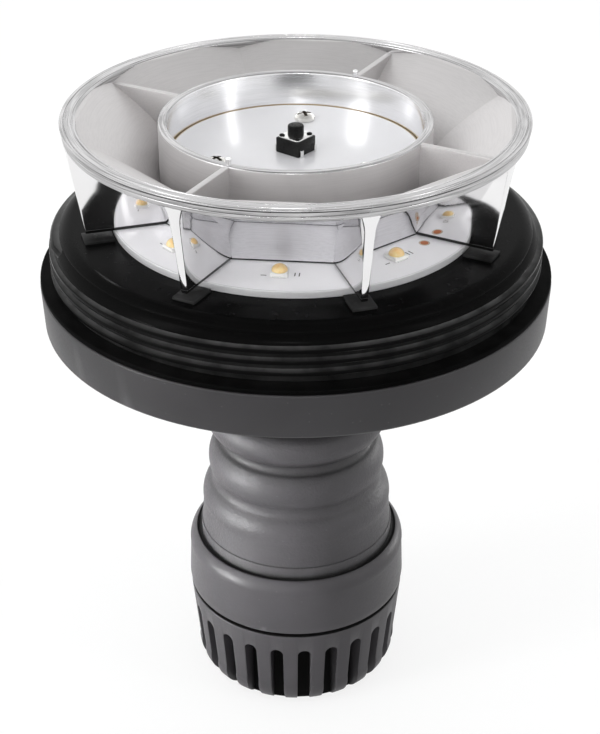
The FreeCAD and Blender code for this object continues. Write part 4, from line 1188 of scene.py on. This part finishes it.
def driver_screws():
    screw = cross_screw(*DRIVER_SCREW, DRIVER_SCREW_TOP - DRIVER_TOP, DRIVER_TOP - DRIVER_SCREW_Z)
    moved(swung(screw, RECESS_TURN), DRIVER_SCREW_CIRCLE, 0, DRIVER_TOP)
    screws = repeated(screw, DRIVER_SCREWS, DRIVER_SCREW_FIRST)
    piece("driver_pan_screws", screws, [ZINC, RECESS_SHADE], ["driver_screws"])


def collar_screws():
    ceiling = CUP_Z + RECESS_DEPTH
    screw = cross_screw(*COLLAR_SCREW, ceiling - COLLAR_SCREW_Z, COLLAR_SCREW_TOP - ceiling)
    screws = at_seats(moved(swung(screw, 180, "X"), 0, 0, ceiling))
    piece("collar_pan_screws", screws, [ZINC, RECESS_SHADE], ["collar_screws"])


# Push switch

SWITCH_AT = (0.0, 0.1)
SWITCH_TURN = 52.0
SWITCH = 6.1
SWITCH_COVER = 5.6
NUB_R = 0.62
NUB_OUT = 2.1
BUTTON_R = 1.75


def at_switch(bm):
    return moved(swung(bm, SWITCH_TURN), *SWITCH_AT, 0)


def push_switch():
    case = moved(brick(SWITCH, SWITCH, CASE_TOP - CASE_Z, 0.22), 0, 0, CASE_Z)
    foot, brim, tip = CASE_TOP - 0.2, COVER_TOP + 0.25, COVER_TOP + 0.45
    nub = wire((0, foot), (NUB_R, foot), (NUB_R, brim), (0, tip), closed=False)
    soften(nub, 0.2, (NUB_R, brim))
    corner = moved(turned(nub, steps=24), NUB_OUT * math.sqrt(2), 0, 0)
    case = together(case, repeated(corner, 4, 45.0))
    piece("switch_body", at_switch(case), [SWITCH_BLACK], ["switch_case"])
    cover = moved(brick(SWITCH_COVER, SWITCH_COVER, COVER_TOP - COVER_Z), 0, 0, COVER_Z)
    upright = [e for e in cover.edges if abs(e.verts[0].co.z - e.verts[1].co.z) > 0.1 * MM]
    eased(cover, upright, 0.7, segments=4)
    eased(cover, sharp_edges(cover, 60), 0.06)
    piece("switch_plate", at_switch(cover), [TINNED], ["switch_cover"])
    body = soften(ring(0, BUTTON_R, BUTTON_Z, BUTTON_TOP), 0.35, (BUTTON_R, BUTTON_TOP))
    button = moved(turned(body, steps=48), *SWITCH_AT, 0)
    piece("switch_plunger", button, [SWITCH_BLACK], ["switch_button"], "button")


PLAIN_NODES = {
    "clamp_collet": COLLET_NATURAL, "pole_socket": SOCKET_BLACK, "earth_contact": BRASS,
    "contact_block": BLOCK_BLACK, "centre_contact": BRASS, "neck_plate": ZINC, "neck_screws": ZINC,
    "led_board_screws": ZINC, "board_spacers": BRASS, "board_header": BLOCK_BLACK,
    "driver_chip": SWITCH_BLACK, "driver_coil": FERRITE, "filter_capacitor": CAN, "switch_legs": TINNED}


def dress_nodes():
    """Gives the nodes that stay as they are their finishes."""
    for name, finish in PLAIN_NODES.items():
        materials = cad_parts[name].data.materials
        materials.clear()
        materials.append(finish)


clamp_knob()
socket_sleeve()
flex_neck()
lead("red_lead", 1, LEAD_RED, "positive_lead")
lead("black_lead", -1, LEAD_BLACK, "negative_lead")
contact_spring()
base_cup()
threaded_collar()
lens_seal()
led_board()
led_lights()
board_print()
reflector()
board_tube()
driver_board()
driver_screws()
collar_screws()
push_switch()
dress_nodes()


# Stage, light and camera

FLOOR_HALF = 8.0
FLOOR_Z = -0.3
FLOOR_GREY = 0.24
FLOOR_GLOW = 0.78
CAMERA_AT = (0.000905, -0.33187, 0.27528)
CAMERA_PITCH = 30.23
CAMERA_LENS = 81.39


def seen_ray(tree):
    """One where a ray comes from the camera, a gloss or a clear surface, and nought elsewhere."""
    path = node(tree, "LightPath")
    seen = maths(tree, "MAXIMUM", path.outputs["Is Camera Ray"], path.outputs["Is Glossy Ray"])
    return maths(tree, "MAXIMUM", seen, path.outputs["Is Transmission Ray"])


def pale_floor():
    bm = bmesh.new()
    bmesh.ops.create_grid(bm, x_segments=1, y_segments=1, size=FLOOR_HALF)
    moved(bm, 0, 0, FLOOR_Z)
    made = bpy.data.materials.new("floor_white")
    made.use_nodes = True
    tree = made.node_tree
    tree.nodes.clear()
    matt = node(tree, "BsdfDiffuse", Color=grey(FLOOR_GREY))
    glow = node(tree, "Emission", Strength=product(tree, seen_ray(tree), FLOOR_GLOW))
    total = tree.nodes.new("ShaderNodeAddShader")
    tree.links.new(matt.outputs[0], total.inputs[0])
    tree.links.new(glow.outputs[0], total.inputs[1])
    out = tree.nodes.new("ShaderNodeOutputMaterial")
    tree.links.new(total.outputs[0], out.inputs[0])
    floor = placed("pale_floor", bm, [made])


def studio_world():
    """Bright round the horizon and dimmer overhead, turned down a little at the front and right."""
    world = bpy.data.worlds.new("studio")
    bpy.context.scene.world = world
    world.use_nodes = True
    tree = world.node_tree
    way = node(tree, "SeparateXYZ", Vector=node(tree, "TexCoord").outputs["Generated"])
    sky = ranged(tree, way.outputs["Z"], 0.45, 0.88, 1.52, 0.66)
    side = ranged(tree, way.outputs["X"], -0.7, 0.8, 0.96, 0.74)
    depth = ranged(tree, way.outputs["Y"], -0.9, 0.2, 0.9, 1.0)
    level = product(tree, sky, product(tree, side, depth))
    wired(tree, tree.nodes["Background"], Color=level, Strength=1.0)


def softbox(name, place, target, size, watts, spread=180.0):
    """Area lamp that faces a target; a small spread stands for a grid in front of it."""
    lamp = bpy.data.lights.new(name, "AREA")
    lamp.shape = "RECTANGLE"
    lamp.size, lamp.size_y = size
    lamp.energy = watts
    lamp.spread = math.radians(spread)
    made = bpy.data.objects.new(name, lamp)
    made.location = place
    made.rotation_euler = (Vector(target) - Vector(place)).to_track_quat("-Z", "Y").to_euler()
    bpy.context.scene.collection.objects.link(made)


def camera():
    lens = bpy.data.cameras.new("camera")
    lens.lens = CAMERA_LENS
    lens.clip_start = 0.01
    made = bpy.data.objects.new("camera", lens)
    made.location = CAMERA_AT
    made.rotation_euler = (math.radians(90 - CAMERA_PITCH), 0, 0)
    bpy.context.scene.collection.objects.link(made)
    bpy.context.scene.camera = made


pale_floor()
studio_world()
softbox("key", (-0.80, -0.42, 0.55), (0, 0, 0.12), (0.26, 0.7), 2.6)
softbox("low_left", (-0.68, -0.26, 0.05), (0, 0, 0.05), (0.40, 0.04), 0.21, spread=12.0)
softbox("low_right", (0.62, 0.42, 0.05), (0, 0, 0.05), (0.20, 0.04), 0.012, spread=12.0)
softbox("fill", (0.70, -0.35, 0.52), (0, 0, 0.12), (0.12, 0.6), 0.9)
softbox("head_front", (-0.05, -0.80, 0.55), (0, 0, 0.135), (0.30, 0.20), 0.02, spread=8.0)
camera()
bpy.context.scene.view_settings.view_transform = "Standard"
